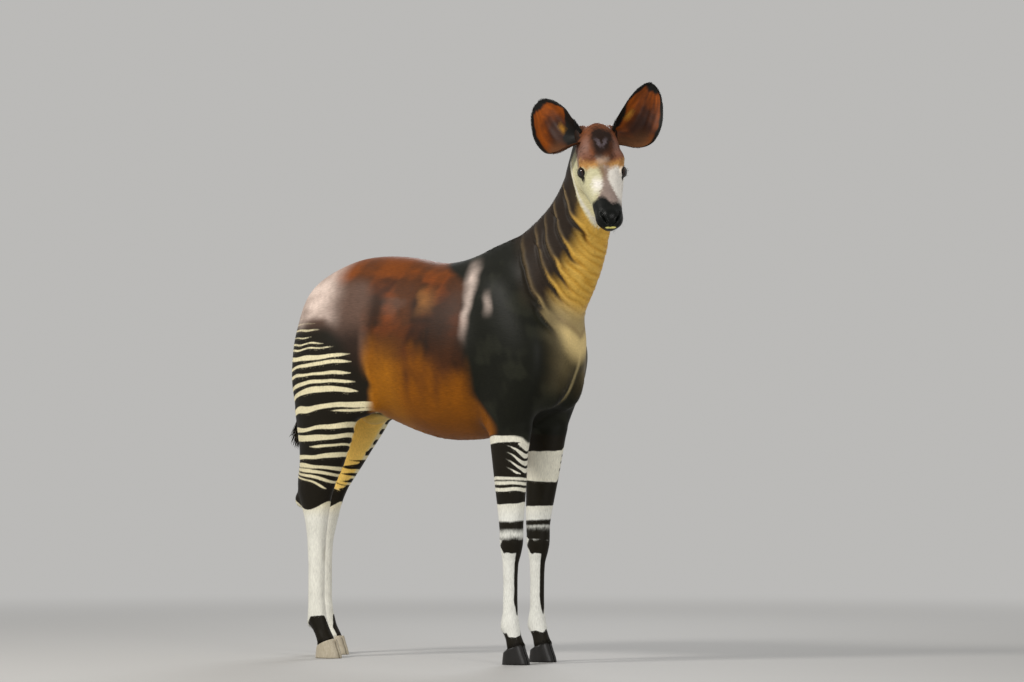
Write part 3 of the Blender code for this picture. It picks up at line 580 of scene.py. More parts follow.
# Pale bands of the hind leg: height at the middle of the thigh, thickness, how far the rear
# and the front ends drop, and from where to where they run (0 rear, 1 front)
hindBands = [
    (1.290, 0.004, 0.010, 0.000, -0.3, 0.42),
    (1.266, 0.005, 0.008, 0.000, -0.3, 0.50),
    (1.241, 0.006, 0.006, 0.000, -0.3, 0.56),
    (1.215, 0.004, 0.006, 0.000, -0.3, 0.48),
    (1.191, 0.007, 0.006, 0.000, -0.3, 0.62),
    (1.172, 0.007, 0.008, -0.010, -0.3, 0.75),
    (1.134, 0.016, 0.002, -0.016, -0.3, 0.90),
    (1.110, 0.012, 0.022, -0.006, -0.3, 0.92),
    (1.074, 0.011, 0.014, 0.000, -0.3, 0.90),
    (1.046, 0.013, 0.034, 0.010, -0.3, 0.94),
    (1.016, 0.020, 0.044, 0.018, -0.3, 0.96),
    (0.950, 0.020, 0.026, -0.006, -0.3, 1.30),
    (0.932, 0.011, 0.000, -0.004, 0.55, 1.30),
    (0.872, 0.017, 0.012, -0.016, -0.3, 1.30),
    (0.832, 0.021, -0.002, -0.020, -0.3, 1.30),
    (0.799, 0.009, 0.000, -0.010, 0.25, 1.30),
    (0.762, 0.016, 0.000, -0.004, -0.3, 1.30),
    (0.725, 0.014, -0.012, 0.014, -0.3, 1.30),
    (0.705, 0.012, -0.014, 0.018, -0.3, 1.30),
    (0.685, 0.010, -0.018, 0.026, -0.3, 1.30),
    (0.667, 0.007, -0.020, 0.040, -0.3, 0.95),
]
hockCap = {"rear": 0.606, "middle": 0.560, "front": 0.598}
# Pale bands of each foreleg: height on the outer side, thickness, how much lower they lie in front
foreBands = {
    -1: [(0.820, 0.024, 0.030), (0.676, 0.010, 0.006), (0.660, 0.011, 0.008), (0.637, 0.013, 0.006),
         (0.550, 0.066, -0.010), (0.472, 0.026, 0.000)],
    1: [(0.755, 0.112, 0.046), (0.558, 0.052, 0.012), (0.499, 0.006, 0.000)],
}
# where the knee's dark mark and the pastern's begin
kneeLow = {-1: 0.404, 1: 0.402}
pasternTop = 0.112


def marginsOf(points, owner, side):
    # the hind leg's rear and front at each height, read off the skin
    f, l, z = ownSpace(points)
    leg = fleshNames.index("hindleg_" + sideNames[side])
    mine = np.where(z > 0.92, (l * side > 0.05) & (f < -0.15), owner == leg)
    heights = np.arange(0.06, 1.35, 0.02)
    rear, front = [], []
    for h in heights:
        here = mine & (np.abs(z - h) < 0.015)
        rear.append(f[here].min())
        # above the groin the front margin follows the fold of the flank
        front.append(min(f[here].max(), -0.185) if h < 0.80 else -0.185 - 0.045 * softStep(1.0 - h, 0, 0.2))
    kernel = np.ones(3) / 3
    rear = np.convolve(np.pad(rear, 1, mode="edge"), kernel, "valid")
    front = np.convolve(np.pad(front, 1, mode="edge"), kernel, "valid")
    return heights, rear, front


def hindField(points, normals, side, margins):
    # how far inside a pale band each point lies, in metres: below 0 is black
    f, _, z = ownSpace(points)
    heights, rear, front = margins
    back, ahead = np.interp(z, heights, rear), np.interp(z, heights, front)
    u = np.clip((f - back) / np.maximum(ahead - back, 0.02), -0.05, 1.05)
    z = z + 0.004 * wobble(points, 0.16, 11 + side) + (0.006 if side > 0 else 0.0) * np.sin(u * 9)
    outward = normals[:, 0] * side
    pale = np.full(len(points), -0.05)
    for middle, thick, rearDrop, frontDrop, start, end in hindBands:
        centre = middle - rearDrop * (1 - 2 * u) * (1 - u) - frontDrop * u * (2 * u - 1)
        half = thick / 2 * softStep(u, start, start + 0.25) * softStep(end - u, 0, 0.17)
        half = half * (1 + 0.16 * np.sin(u * 7 + middle * 60))
        half = np.where(half < 0.0006, -0.01, half)
        pale = np.maximum(pale, half - np.abs(z - centre))
    cap = hockCap["rear"] * (1 - u) * (1 - 2 * u) + hockCap["middle"] * 4 * u * (1 - u)
    cap = cap + hockCap["front"] * u * (2 * u - 1)
    pale = np.maximum(pale, cap - z)
    # the inner side is tan, with short rungs on its front margin
    inner = softStep(-outward, 0.05, 0.45) * softStep(z, 0.60, 0.66) * softStep(1.06 - z, 0, 0.08)
    rung = np.where(u > 0.72, 0.0048 * np.cos(2 * math.pi * z / 0.031) + 0.006 * (0.86 - u) * 6, 0.03)
    pale = pale * (1 - inner) + np.maximum(rung, pale) * inner
    # the pastern's dark patch, on the outer front
    toFront = 0.8 * outward - 0.6 * normals[:, 1]
    crown = 0.112 + 0.048 * softStep(toFront, 0.10, 0.75)
    patch = np.minimum(np.minimum(crown - z, z - 0.040),
                       0.05 * (toFront - 0.16 - 2.2 * (0.105 - z) * (z < 0.105)))
    pale = np.minimum(pale, np.where(z < 0.25, -patch, 1.0))
    return pale, inner


def foreField(points, normals, side):
    z = points[:, 2] + 0.003 * wobble(points, 0.12, 21 + side)
    ahead, outward = -normals[:, 1], normals[:, 0] * side
    pale = np.full(len(points), -0.05)
    for middle, thick, arch in foreBands[side]:
        centre = middle - arch * (1 - np.clip(outward, 0, 1)) * 0.7
        pale = np.maximum(pale, thick / 2 - np.abs(z - centre))
    # white tongues feather into the dark block from the front margin
    tongue = 0.0065 * np.cos(2 * math.pi * (z + 0.05 * ahead) / 0.026) + 0.012 * (ahead - 0.80)
    tongue = np.where((z > 0.69) & (z < 0.80), tongue, -0.03)
    if side < 0:
        pale = np.maximum(pale, tongue)
    else:
        pale = np.minimum(pale, np.where((z > 0.685) & (z < 0.77) & (outward > 0.2), -tongue + 0.004, 1.0))
    # the dark smudge above the knee, the knee, and the stripe down the front of the cannon
    smudge = (0.0070 + 0.004 * wobble(points, 0.05, 31) - np.abs(z - 0.503)
              - 0.014 * softStep(-outward, 0.2, 0.8))
    if side < 0:
        pale = np.minimum(pale, -smudge)
    pale = np.where(z < 0.455, 0.03, pale)
    knee = np.minimum(z - kneeLow[side], 0.459 - z) - 0.02 * softStep(-ahead, 0.1, 0.7)
    pale = np.minimum(pale, 0.004 * wobble(points, 0.04, 33) - knee)
    # the knee's marks have soft edges
    pale = pale * (1 - 0.88 * bump(z, 0.475, 0.110))
    line = (0.0180 * softStep(z, 0.150, 0.24)
            - 0.030 * np.abs(np.arctan2(outward + 0.10, ahead)) * softStep(ahead, -0.3, 0.3))
    line = np.where(ahead < 0.0, -0.02, line)
    line = np.minimum(line, np.minimum(z - 0.175, 0.44 - z) * 0.5)
    pale = np.minimum(pale, -line)
    pale = np.minimum(pale, z - pasternTop - 0.012 * wobble(points, 0.06, 34))
    return pale


def evenCoat(name, count):
    return np.repeat(coat[name][None], count, 0)


def layer(colour, name, share):
    share = np.clip(share, 0, 1)[:, None]
    return colour * (1 - share) + coat[name] * share


def layers(colour, rows):
    # colours laid over each other, each with its share
    for name, share in rows:
        colour = layer(colour, name, share)
    return colour


def bodyColours(points):
    f, l, z = ownSpace(points)
    w = wobble(points, 0.5, 1)
    fine = wobble(points, 0.16, 2, 3)
    # streaks that fall with the ribs, for the colour patches and for the painted shade between the ribs
    fall = wobble(np.stack([points[:, 0], (f - 0.16 * (z - 1.2)) * 2.4, z * 0.8], 1), 0.42, 3, 2)
    cloud = wobble(points * [1, 1, 1.5], 0.22, 4, 3)
    colour = evenCoat("rib", len(points))
    colour = layers(colour, [
        ("rufous", softStep(cloud + 0.6 * fall, -0.3, 1.1) * softStep(z, 1.10, 1.26) * 0.80),
        # painted shade: dark streaks between the ribs
        ("ribShade", softStep(fall - 0.4 * cloud, -0.2, 1.0) * 0.70),
        # painted shade: a dark band behind the shoulder
        ("ribShade", 0.72 * bump(f, 0.185 + 0.03 * w, 0.17) * bump(z, 1.20 + 0.2 * f, 0.24)),
        ("backLine", 0.9 * softStep(z + 0.028 * cloud + 0.018 * fall, 1.400, 1.500)
         * softStep(0.34 - f - 0.3 * (1.45 - z), 0, 0.16)),
        ("hip", 0.55 * bump(f, -0.05, 0.10) * bump(z, 1.33, 0.10) * softStep(fine, -0.4, 0.5)),
    ])
    shadow = softStep(fall + 0.5 * cloud, -0.7, 0.7)
    colour = layers(colour, [
        # painted shadow low on the middle of the ribs
        ("ribShade", 0.80 * bump(f, 0.02 + 0.05 * w, 0.20) * bump(z, 1.215 + 0.03 * w, 0.085) * shadow),
        ("ribLight", 0.75 * bump(f, 0.06 + 0.03 * w, 0.15) * bump(z, 1.335, 0.075)
         * softStep(fall + 0.6 * cloud, -0.6, 0.8)),
        # painted shade behind the shoulder
        ("ribShade", 0.72 * bump(f, 0.225 + 0.02 * w, 0.085) * softStep(1.42 - z, 0, 0.1) * shadow),
    ])
    # the lower body and the flank turn orange-brown: painted warm light bounced up from the floor, over the
    # coat's brown
    low = softStep(1.155 + 0.04 * w + 0.09 * fall + 0.05 * fine + 0.07 * softStep(-f, -0.05, 0.15) - z,
                   0, 0.24)
    colour = layers(colour, [
        ("belly", low),
        ("flank", softStep(0.13 - np.abs(f + 0.09 + 0.02 * w), 0, 0.11) * softStep(1.24 - z, 0, 0.2) * 0.7),
        # painted shade low behind the shoulder
        ("ribShade", 0.50 * bump(f, 0.27 + 0.03 * w, 0.06) * softStep(1.30 - z, 0, 0.1) * (0.6 + 0.4 * fall)),
        # hip and rump: dark plum into a painted rosy sheen highlight on the rump, and a dark thigh with a
        # bright line before it
        ("flankLine", bump(f, -0.175, 0.028) * bump(z, 1.03, 0.20) * 0.9),
        ("hip", softStep(-0.15 + 0.03 * w - f, 0, 0.09) * softStep(1.46 - z + 0.05 * w, 0, 0.10)),
        ("thighFront", softStep(-0.185 - f, 0, 0.03) * softStep(1.30 - z, 0, 0.12) * 0.85),
        ("paintedSheen", softStep(-0.29 + 0.03 * w - f, 0, 0.15) * softStep(z - 0.03 * cloud, 1.23, 1.31)
         * softStep(1.53 - z, 0, 0.05) * (0.74 + 0.2 * fine)),
    ])
    # shoulder, forearm and breast
    edge = 0.285 - 0.28 * softStep(z, 1.36, 1.56) + 0.10 * softStep(1.0 - z, 0, 0.15) + 0.022 * w
    colour = layers(colour, [
        ("shoulder", softStep(f, edge - 0.03, edge + 0.03)),
        ("shoulderSheen", softStep(fine, 0.0, 0.9) * 0.6 * softStep(f, edge, edge + 0.05)),
    ])
    # light caught on the blade's ridge
    ridge = f - (0.280 - 0.30 * np.maximum(z - 1.40, 0)) + 0.007 * fine
    glint = (bump(ridge, 0.0, 0.026 + 0.024 * softStep(z, 1.26, 1.40)) * softStep(z, 1.14, 1.34)
             * softStep(1.505 - z, 0, 0.09))
    glint = glint * (0.70 + 0.30 * softStep(fine, -0.6, 0.4))
    second = bump(f + 0.01 * fine, 0.372, 0.030) * bump(z, 1.315, 0.065)
    colour = layers(colour, [
        ("paintedSheen", np.maximum(glint * 0.80, second * 0.42)),
        ("groin", softStep(0.96 - z, 0, 0.05) * softStep(-0.17 - f, 0, 0.05)
         * softStep(0.14 - np.abs(l), 0, 0.05)),
    ])
    # the breast: a painted pale highlight down the middle cleft and painted olive sheen on its swell
    chest = softStep(f, 0.47, 0.56) * softStep(1.24 - z, 0, 0.05) * softStep(z, 0.93, 1.0)
    swell = 0.45 * bump(l, -0.06, 0.10) + 0.85 * bump(l, 0.075, 0.085)
    colour = layers(colour, [
        ("breastSheen", chest * swell * softStep(z, 0.93, 1.12) * (0.8 + 0.2 * fine)),
        ("breast", chest * softStep(0.014 - np.abs(l), 0, 0.014) * 0.45),
    ])
    return colour


def neckColours(points, colour):
    crest, groove, ring, length, angle = foldWave(points)
    w = wobble(points, 0.3, 41)
    f, l, z = ownSpace(points)
    # the neck ends below in a pale V between the shoulders
    vee = z - 1.165 - 0.75 * np.abs(l)
    base = softStep(vee, -0.006, 0.030) * softStep(f, 0.52, 0.58) * softStep(0.105 - np.abs(l), 0, 0.04)
    upper = softStep(length - 0.04 * angle + 0.02 * w, 0.10, 0.17)
    neckOn = np.maximum(upper, base)
    paint = evenCoat("neck", len(points))
    paint = layers(paint, [
        ("neckTintAndHighlight", 0.16 * softStep(w, 0, 1)),
        # painted shade in the folds' grooves and painted highlight on their crests
        ("ink", 0.45 * groove),
        ("neckTintAndHighlight", crest * (0.46 + 0.34 * softStep(length, 0.42, 0.60) + 0.10 * w)),
    ])
    throatEdge = np.interp(length, (0.15, 0.18, 0.22, 0.28, 0.35, 0.47, 0.60),
                           (0.62, 0.68, 0.86, 0.94, 0.96, 1.05, 1.10))
    throat = softStep(throatEdge + 0.15 + 0.14 * w - angle + 0.35 * (crest - groove), 0, 0.66)
    golden = evenCoat("throat", len(points))
    golden = layers(golden, [
        # the throat's paler tone, with painted highlight on the rings' crests
        ("throatPaleAndHighlight", 0.35 + 0.30 * ring * (0.7 + 0.5 * w)),
        ("breast", softStep(0.26 - length, 0, 0.10) * 0.8),
        # painted shade in the grooves and the rings' troughs
        ("throatShade", 0.50 * groove + 0.18 * np.clip(-ring, 0, 1)),
    ])
    paint = paint * (1 - throat[:, None]) + golden * throat[:, None]
    paint = layers(paint, [
        ("breastSheen", base * softStep(0.24 - length, 0, 0.06) * 0.72),
        ("neckTintAndHighlight", base * bump(vee, 0.030, 0.020) * 0.5),
    ])
    return colour * (1 - neckOn[:, None]) + paint * neckOn[:, None]


jawRows = [(-0.10, 0.03), (-0.05, -0.03), (-0.02, -0.075), (0.0, -0.105), (0.048, -0.128),
           (0.091, -0.137), (0.134, -0.145), (0.167, -0.164), (0.194, -0.187), (0.223, -0.200),
           (0.247, -0.213), (0.272, -0.229), (0.300, -0.250)]


def jawHeight(along, rise):
    # how far above the jaw's edge a point lies, on the head's own upright axis
    return rise - np.interp(along, *zip(*jawRows))


def faceColours(points, colour):
    along, rise, left = headSpace(points)
    out = np.abs(left)
    w, fine = wobble(points, 0.06, 51), wobble(points, 0.014, 52, 3)
    # hair blurs the edges of the face's patches
    along = along + 0.0035 * fine
    out = out + 0.0030 * wobble(points, 0.012, 53, 2)
    paint = evenCoat("cheek", len(points))
    jaw = jawHeight(along, rise)
    streak = (bump(along + 0.01 * w, 0.296, 0.062)
              * softStep(0.040 - out + 0.008 * w + 0.003 * fine, -0.014, 0.010))
    far = softStep(along, 0.16, 0.22) * softStep(rise, -0.10, -0.06)
    paint = layers(paint, [
        ("cheekWhite", np.where(left > 0, far, streak)),
        ("jaw", softStep(-0.085 - rise, 0, 0.03) * 0.8),
        ("cheekWhite", 0.8 * bump(jaw, 0.010, 0.010) * softStep(along, 0.02, 0.06)),
    ])
    # the crown comes down to just above the eyes, with orange brows
    browLine = 0.213 - 0.034 * softStep(out, 0.062, 0.096) + 0.007 * w
    crownSide = 0.088 + 0.020 * softStep(0.06 - along, 0, 0.08)
    crown = softStep(browLine - along, -0.012, 0.016) * softStep(crownSide - out + 0.005 * w, -0.008, 0.010)
    crown = crown * softStep(rise, -0.075, -0.050)
    top = evenCoat("crown", len(points))
    top = layers(top, [
        # painted mauve sheen on the sides of the crown
        ("crownSide", softStep(out + 0.012 * w, 0.026, 0.050) * bump(along, 0.125, 0.075) * 0.85),
        ("whorl", 0.35 * softStep(fine + w, 0.2, 1.2)),
        ("bridge", softStep(0.030 - out, 0, 0.02) * softStep(along, 0.150, 0.180) * 0.35),
        ("brow", softStep(along - browLine + 0.044, 0, 0.034) * (0.38 + 0.34 * softStep(out, 0.010, 0.030))),
        ("cheekWhite", 0.22 * softStep(0.034 - out, 0, 0.02) * bump(along + 0.01 * w, 0.183, 0.026)),
    ])
    spread = np.sqrt(((left - 0.003) / 0.043) ** 2 + ((along - 0.112) / 0.068) ** 2)
    whorl = softStep(1.30 - spread + 0.16 * w + 0.05 * fine, 0, 0.62)
    top = layer(top, "whorl", whorl * 0.97)
    vee = softStep(0.016 - np.abs(np.abs(left) * 1.3 - (0.148 - along) * 0.55 + 0.003 * fine), 0, 0.016)
    top = layer(top, "whorlGrey", vee * bump(along, 0.122, 0.032) * 0.32)
    paint = paint * (1 - crown[:, None]) + top * crown[:, None]
    # black skin behind the ears' roots
    rootOn = softStep(out, 0.058, 0.068) * softStep(0.064 - along + 0.3 * (out - 0.06), 0, 0.016)
    paint = layer(paint, "earBlack", rootOn * 0.92)
    # bridge stripe into the grey upper muzzle
    bridgeHalf = 0.0215 - 0.009 * softStep(along, 0.19, 0.26) + 0.022 * softStep(along, 0.30, 0.36)
    bridge = (softStep(bridgeHalf - out + 0.003 * w + 0.0012 * fine, -0.009, 0.009)
              * softStep(along, 0.185, 0.225))
    bridge = bridge * softStep(rise, -0.05, -0.03)
    paint = layers(paint, [
        ("bridge", bridge * 0.9),
        ("muzzleGrey", bridge * softStep(along, 0.24, 0.30) * 0.85),
    ])
    # black nose and lips, higher at the nostrils
    line = (0.350 + 0.030 * softStep(left, -0.024, 0.010) + 0.022 * softStep(-0.045 - rise, 0, 0.03)
            + 0.004 * w)
    paint = layer(paint, "muzzleGrey",
                  softStep(along - line, -0.040, -0.006) * softStep(left, -0.02, 0.02) * 0.6)
    muzzle = softStep(along - line, -0.010, 0.016)
    paint = layer(paint, "nose", muzzle)
    lens = 1 - (left / 0.0215) ** 2 - ((rise + 0.0592) / 0.0052) ** 2
    lipOn = softStep(along, 0.440, 0.452) * softStep(lens, 0, 0.4)
    paint = layer(paint, "lip", lipOn)
    # dark rims round the eyes and a pale jaw edge
    rim = np.zeros(len(points))
    for side in (-1, 1):
        gaze, inner, lift = eyeWays(side)
        d = points - eyeMiddles[side]
        gap = lidGap(d @ inner / eyeRadius, d @ lift / eyeRadius) * eyeRadius
        # darker and longer at the inner corner
        reach = 0.0068 + 0.0068 * softStep(d @ inner, 0.010, 0.022) * softStep(0.010 - d @ lift, 0, 0.008)
        rim = np.maximum(rim, softStep(reach - gap, 0, 0.0030) * (d @ gaze > 0.004))
    paint = layer(paint, "nose", rim * 0.95)
    headOn = softStep(jaw, -0.004, 0.005) * softStep(headShare(points), 0.2, 0.5)
    wet = np.maximum(softStep(along - line, 0.035, 0.055) * (1 - lipOn), rim)
    return blend(colour, paint, headOn), wet * headOn


def markingsOf(points, normals, margins):
    f, l, z = ownSpace(points)
    colour = bodyColours(points)
    colour = neckColours(points, colour)
    colour, wet = faceColours(points, colour)
    side = np.where(l > 0, 1, -1)
    pale, legOn = np.full(len(points), -0.05), np.zeros(len(points))
    paleTone = evenCoat("cream", len(points))
    for s in (-1, 1):
        mine = side == s
        field, innerSide = hindField(points, normals, s, margins[s])
        hind = (f < -0.1) & mine
        pale = np.where(hind, field, pale)
        w = wobble(points, 0.3, 61)
        hipTop = 1.305 + 0.03 * w - 0.15 * softStep(f, -0.36, -0.18)
        on = (softStep(hipTop - z, 0, 0.08 + 0.06 * softStep(f, -0.36, -0.2))
              * softStep(np.abs(l), 0.035, 0.07))
        front = np.interp(z, margins[s][0], margins[s][2]) + 0.012 - 0.034 * softStep(z, 0.98, 1.24)
        # uneven on the thigh only: the lower leg is striped all round
        front = front + (0.010 * np.sin(z * 19) + 0.012 * wobble(points, 0.12, 62)) * softStep(z, 0.86, 0.96)
        soft = 0.022 * softStep(z, 1.05, 1.2)
        on = on * softStep(front + 0.008 * w - f, -0.010 - soft, 0.010 + soft)
        legOn = np.where(hind, on, legOn)
        inner = np.where(hind, innerSide, 0)
        paleTone = layer(paleTone, "tan", inner)
        fore = (f > 0.1) & mine & (z < 0.95)
        field = foreField(points, normals, s)
        pale = np.where(fore, field, pale)
        top = 0.838 - 0.030 * (1 - np.clip(normals[:, 0] * s, 0, 1)) * (s < 0)
        legOn = np.where(fore, softStep(top + 0.004 * w - z, -0.004, 0.006), legOn)
    paleTone = layers(paleTone, [
        ("white", softStep(0.62 - z, 0, 0.1) * 0.8),
        ("white", softStep(f, 0.1, 0.2) * 0.6),
    ])
    return {"coatColour": colour, "paleTone": paleTone, "pale": pale * 100, "legOn": legOn, "wet": wet}


def giveMarkings(mesh, marks, shade):
    for name, values in marks.items():
        if values.ndim == 2:
            setColours(mesh, name, values)
        else:
            setFloats(mesh, name, values)
    setFloats(mesh, "shade", shade)


def plainMarks(colour):
    # the marks of a piece without stripes
    still = np.zeros(len(colour))
    return {"coatColour": colour, "paleTone": colour, "pale": still, "legOn": still, "wet": still}


# Materials

def newMaterial(name):
    material = bpy.data.materials.new(name)
    material.use_nodes = True
    tree = material.node_tree
    return material, tree, tree.nodes["Principled BSDF"]


def addNode(tree, kind, values=None, **settings):
    node = tree.nodes.new(kind)
    for key, value in settings.items():
        setattr(node, key, value)
    for key, value in (values or {}).items():
        node.inputs[key].default_value = value
    return node


def math2(tree, operation, a, b=None, c=None, clamp=False):
    node = addNode(tree, "ShaderNodeMath", operation=operation, use_clamp=clamp)
    for k, value in enumerate((a, b, c)):
        if value is None:
            continue
        if isinstance(value, (int, float)):
            node.inputs[k].default_value = value
        else:
            tree.links.new(value, node.inputs[k])
    return node.outputs[0]


def attribute(tree, name):
    return addNode(tree, "ShaderNodeAttribute", attribute_name=name)


def mixColour(tree, share, a, b, blend="MIX"):
    node = addNode(tree, "ShaderNodeMix", data_type="RGBA", blend_type=blend)
    for k, value in ((0, share), (6, a), (7, b)):
        if isinstance(value, (int, float)):
            node.inputs[k].default_value = value
        elif isinstance(value, (tuple, list, np.ndarray)):
            node.inputs[k].default_value = (*value[:3], 1.0)
        else:
            tree.links.new(value, node.inputs[k])
    return node.outputs[2]


def streaks(tree, turn, scale, stretch):
    # noise drawn out along the lie of the hair
    place = addNode(tree, "ShaderNodeTexCoord")
    mapping = addNode(tree, "ShaderNodeMapping", {"Rotation": turn, "Scale": stretch})
    noise = addNode(tree, "ShaderNodeTexNoise", {"Scale": scale, "Detail": 2.0, "Roughness": 0.6})
    tree.links.new(place.outputs["Object"], mapping.inputs["Vector"])
    tree.links.new(mapping.outputs["Vector"], noise.inputs["Vector"])
    return noise.outputs["Fac"]


hair = {"rough": 0.50, "wetShine": 0.18, "specular": 0.14, "sheen": 0.015, "depth": 0.0012}


def coatMaterial(name):
    material, tree, shader = newMaterial(name)
    link = tree.links.new
    legOn, wet = attribute(tree, "legOn").outputs["Fac"], attribute(tree, "wet").outputs["Fac"]
    bodyHair = streaks(tree, (0.0, 0.0, 0.0), 90.0, (3.0, 0.45, 2.4))
    legHair = streaks(tree, (0.0, 0.0, 0.0), 120.0, (3.0, 3.0, 0.5))
    strands = mixColour(tree, legOn, bodyHair, legHair)
    mottle = addNode(tree, "ShaderNodeTexNoise", {"Scale": 14.0, "Detail": 3.0, "Roughness": 0.55})
    link(addNode(tree, "ShaderNodeTexCoord").outputs["Object"], mottle.inputs["Vector"])
    # the stripes' edges are ragged by the hair
    ragged = math2(tree, "MULTIPLY_ADD", strands, 0.30, -0.15)
    field = math2(tree, "ADD", attribute(tree, "pale").outputs["Fac"], ragged)
    ink = addNode(tree, "ShaderNodeMapRange", {1: -0.20, 2: 0.20, 3: 1.0, 4: 0.0},
                  interpolation_type="SMOOTHSTEP")
    link(field, ink.inputs[0])
    legs = mixColour(tree, ink.outputs[0], attribute(tree, "paleTone").outputs["Color"], coat["ink"])
    colour = mixColour(tree, legOn, attribute(tree, "coatColour").outputs["Color"], legs)
    light = math2(tree, "MULTIPLY_ADD", strands, 0.70, 0.65)
    soft = math2(tree, "MULTIPLY_ADD", mottle.outputs["Fac"], 0.30, 0.85)
    shade = math2(tree, "MULTIPLY", light,
                  math2(tree, "MULTIPLY", soft, attribute(tree, "shade").outputs["Fac"]))
    colour = mixColour(tree, 1.0, colour, shade, "MULTIPLY")
    link(colour, shader.inputs["Base Color"])
    rough = math2(tree, "MULTIPLY_ADD", wet, -hair["wetShine"], hair["rough"])
    link(rough, shader.inputs["Roughness"])
    shader.inputs["Specular IOR Level"].default_value = hair["specular"]
    shader.inputs["Sheen Weight"].default_value = hair["sheen"]
    shader.inputs["Sheen Roughness"].default_value = 0.35
    shader.inputs["Sheen Tint"].default_value = (1.0, 0.93, 0.88, 1.0)
    # the nose has a fine pebbled leather instead of hair
    pebbles = addNode(tree, "ShaderNodeTexVoronoi", {"Scale": 420.0})
    link(addNode(tree, "ShaderNodeTexCoord").outputs["Object"], pebbles.inputs["Vector"])
    leather = math2(tree, "MULTIPLY", pebbles.outputs["Distance"], 0.8)
    height = mixColour(tree, wet, strands, leather)
    relief = addNode(tree, "ShaderNodeBump", {"Strength": 0.35, "Distance": hair["depth"]})
    link(height, relief.inputs["Height"])
    link(relief.outputs["Normal"], shader.inputs["Normal"])
    return material


def addPiece(name, mesh, material, replaced):
    mesh.materials.clear()
    mesh.materials.append(material)
    obj = newObject(name, mesh)
    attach(obj, "root")
    if replaced:
        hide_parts(*replaced)


def smoothShade(mesh):
    mesh.polygons.foreach_set("use_smooth", np.ones(len(mesh.polygons), bool))
    mesh.polygons.foreach_set("material_index", np.zeros(len(mesh.polygons), np.int32))


skinCoat = coatMaterial("velvet_coat")

owner = nearestNodes(pointsOf(skinMesh))
margins = {side: marginsOf(pointsOf(skinMesh), owner, side) for side in (-1, 1)}
marks = markingsOf(pointsOf(skinMesh), normalsOf(skinMesh), margins)
giveMarkings(skinMesh, marks, np.ones(len(skinMesh.vertices)))
skinMesh.materials.clear()
skinMesh.materials.append(skinCoat)
smoothShade(skinMesh)
skinObject = newObject("okapi_skin", skinMesh)
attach(skinObject, "root")
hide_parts(*fleshNames)
print("skin coloured")


# Ears: leaf-shaped cups rolled to a tube at the root

pictureRight = np.array([0.588, -0.809, 0.0])
pictureNear = np.array([-0.809, -0.588, 0.0])
ears = {
    "length": 0.232,
    "rimHalf": 0.0010,     # half the thickness at the margin and in the middle
    "midHalf": 0.0021,
    "rows": 72,
    "columns": 36,
    "lobeSag": 0.050,      # how far the outer lobe hangs at the root
    "bow": 0.028,          # how far the middle bows back
    "ribs": 0.0011,        # height of the faint ribs inside
    # share of the length, reach to the inner and outer margin, roll in degrees
    "margins": [(-0.06, 0.016, 0.014, 165), (0.00, 0.020, 0.024, 150), (0.05, 0.023, 0.050, 128),
                (0.10, 0.026, 0.080, 104), (0.18, 0.029, 0.108, 84), (0.28, 0.032, 0.124, 69),
                (0.40, 0.034, 0.126, 59), (0.52, 0.036, 0.119, 52), (0.64, 0.036, 0.105, 47),
                (0.75, 0.034, 0.086, 43), (0.85, 0.028, 0.065, 39), (0.93, 0.020, 0.043, 35),
                (0.98, 0.010, 0.021, 32), (1.00, 0.003, 0.006, 30)],
    -1: {"axis": (pictureRight * -0.740 + up * 0.672) * 0.84 - pictureNear * 0.46,
         "lobe": pictureRight * -0.656 - up * 0.755, "root": (0.022, -0.036, -0.062),
         "grow": (1.22, 1.08), "dark": 0.52, "reach": 0.60, "patch": 0.36, "tuft": -0.30},
    1: {"axis": pictureRight * 0.585 + up * 0.81 - pictureNear * 0.12,
        "lobe": pictureRight * 0.827 - up * 0.56, "root": (0.016, -0.034, 0.072),
        "grow": (1.0, 1.0), "dark": 0.74, "reach": 0.58, "patch": 0.80, "tuft": -0.55},
}


def smoothRun(rows, at):
    # rows through their points without corners, at the given first values
    rows = np.array(rows, float)
    x = rows[:, 0]
    slope = np.gradient(rows[:, 1:], x, axis=0)
    k = np.clip(np.searchsorted(x, at) - 1, 0, len(x) - 2)
    gap = (x[k + 1] - x[k])[:, None]
    t = ((at - x[k]) / (x[k + 1] - x[k]))[:, None]
    a, b = rows[k, 1:], rows[k + 1, 1:]
    low = (2 * t ** 3 - 3 * t ** 2 + 1) * a + (t ** 3 - 2 * t ** 2 + t) * gap * slope[k]
    return low + (3 * t ** 2 - 2 * t ** 3) * b + (t ** 3 - t ** 2) * gap * slope[k + 1]


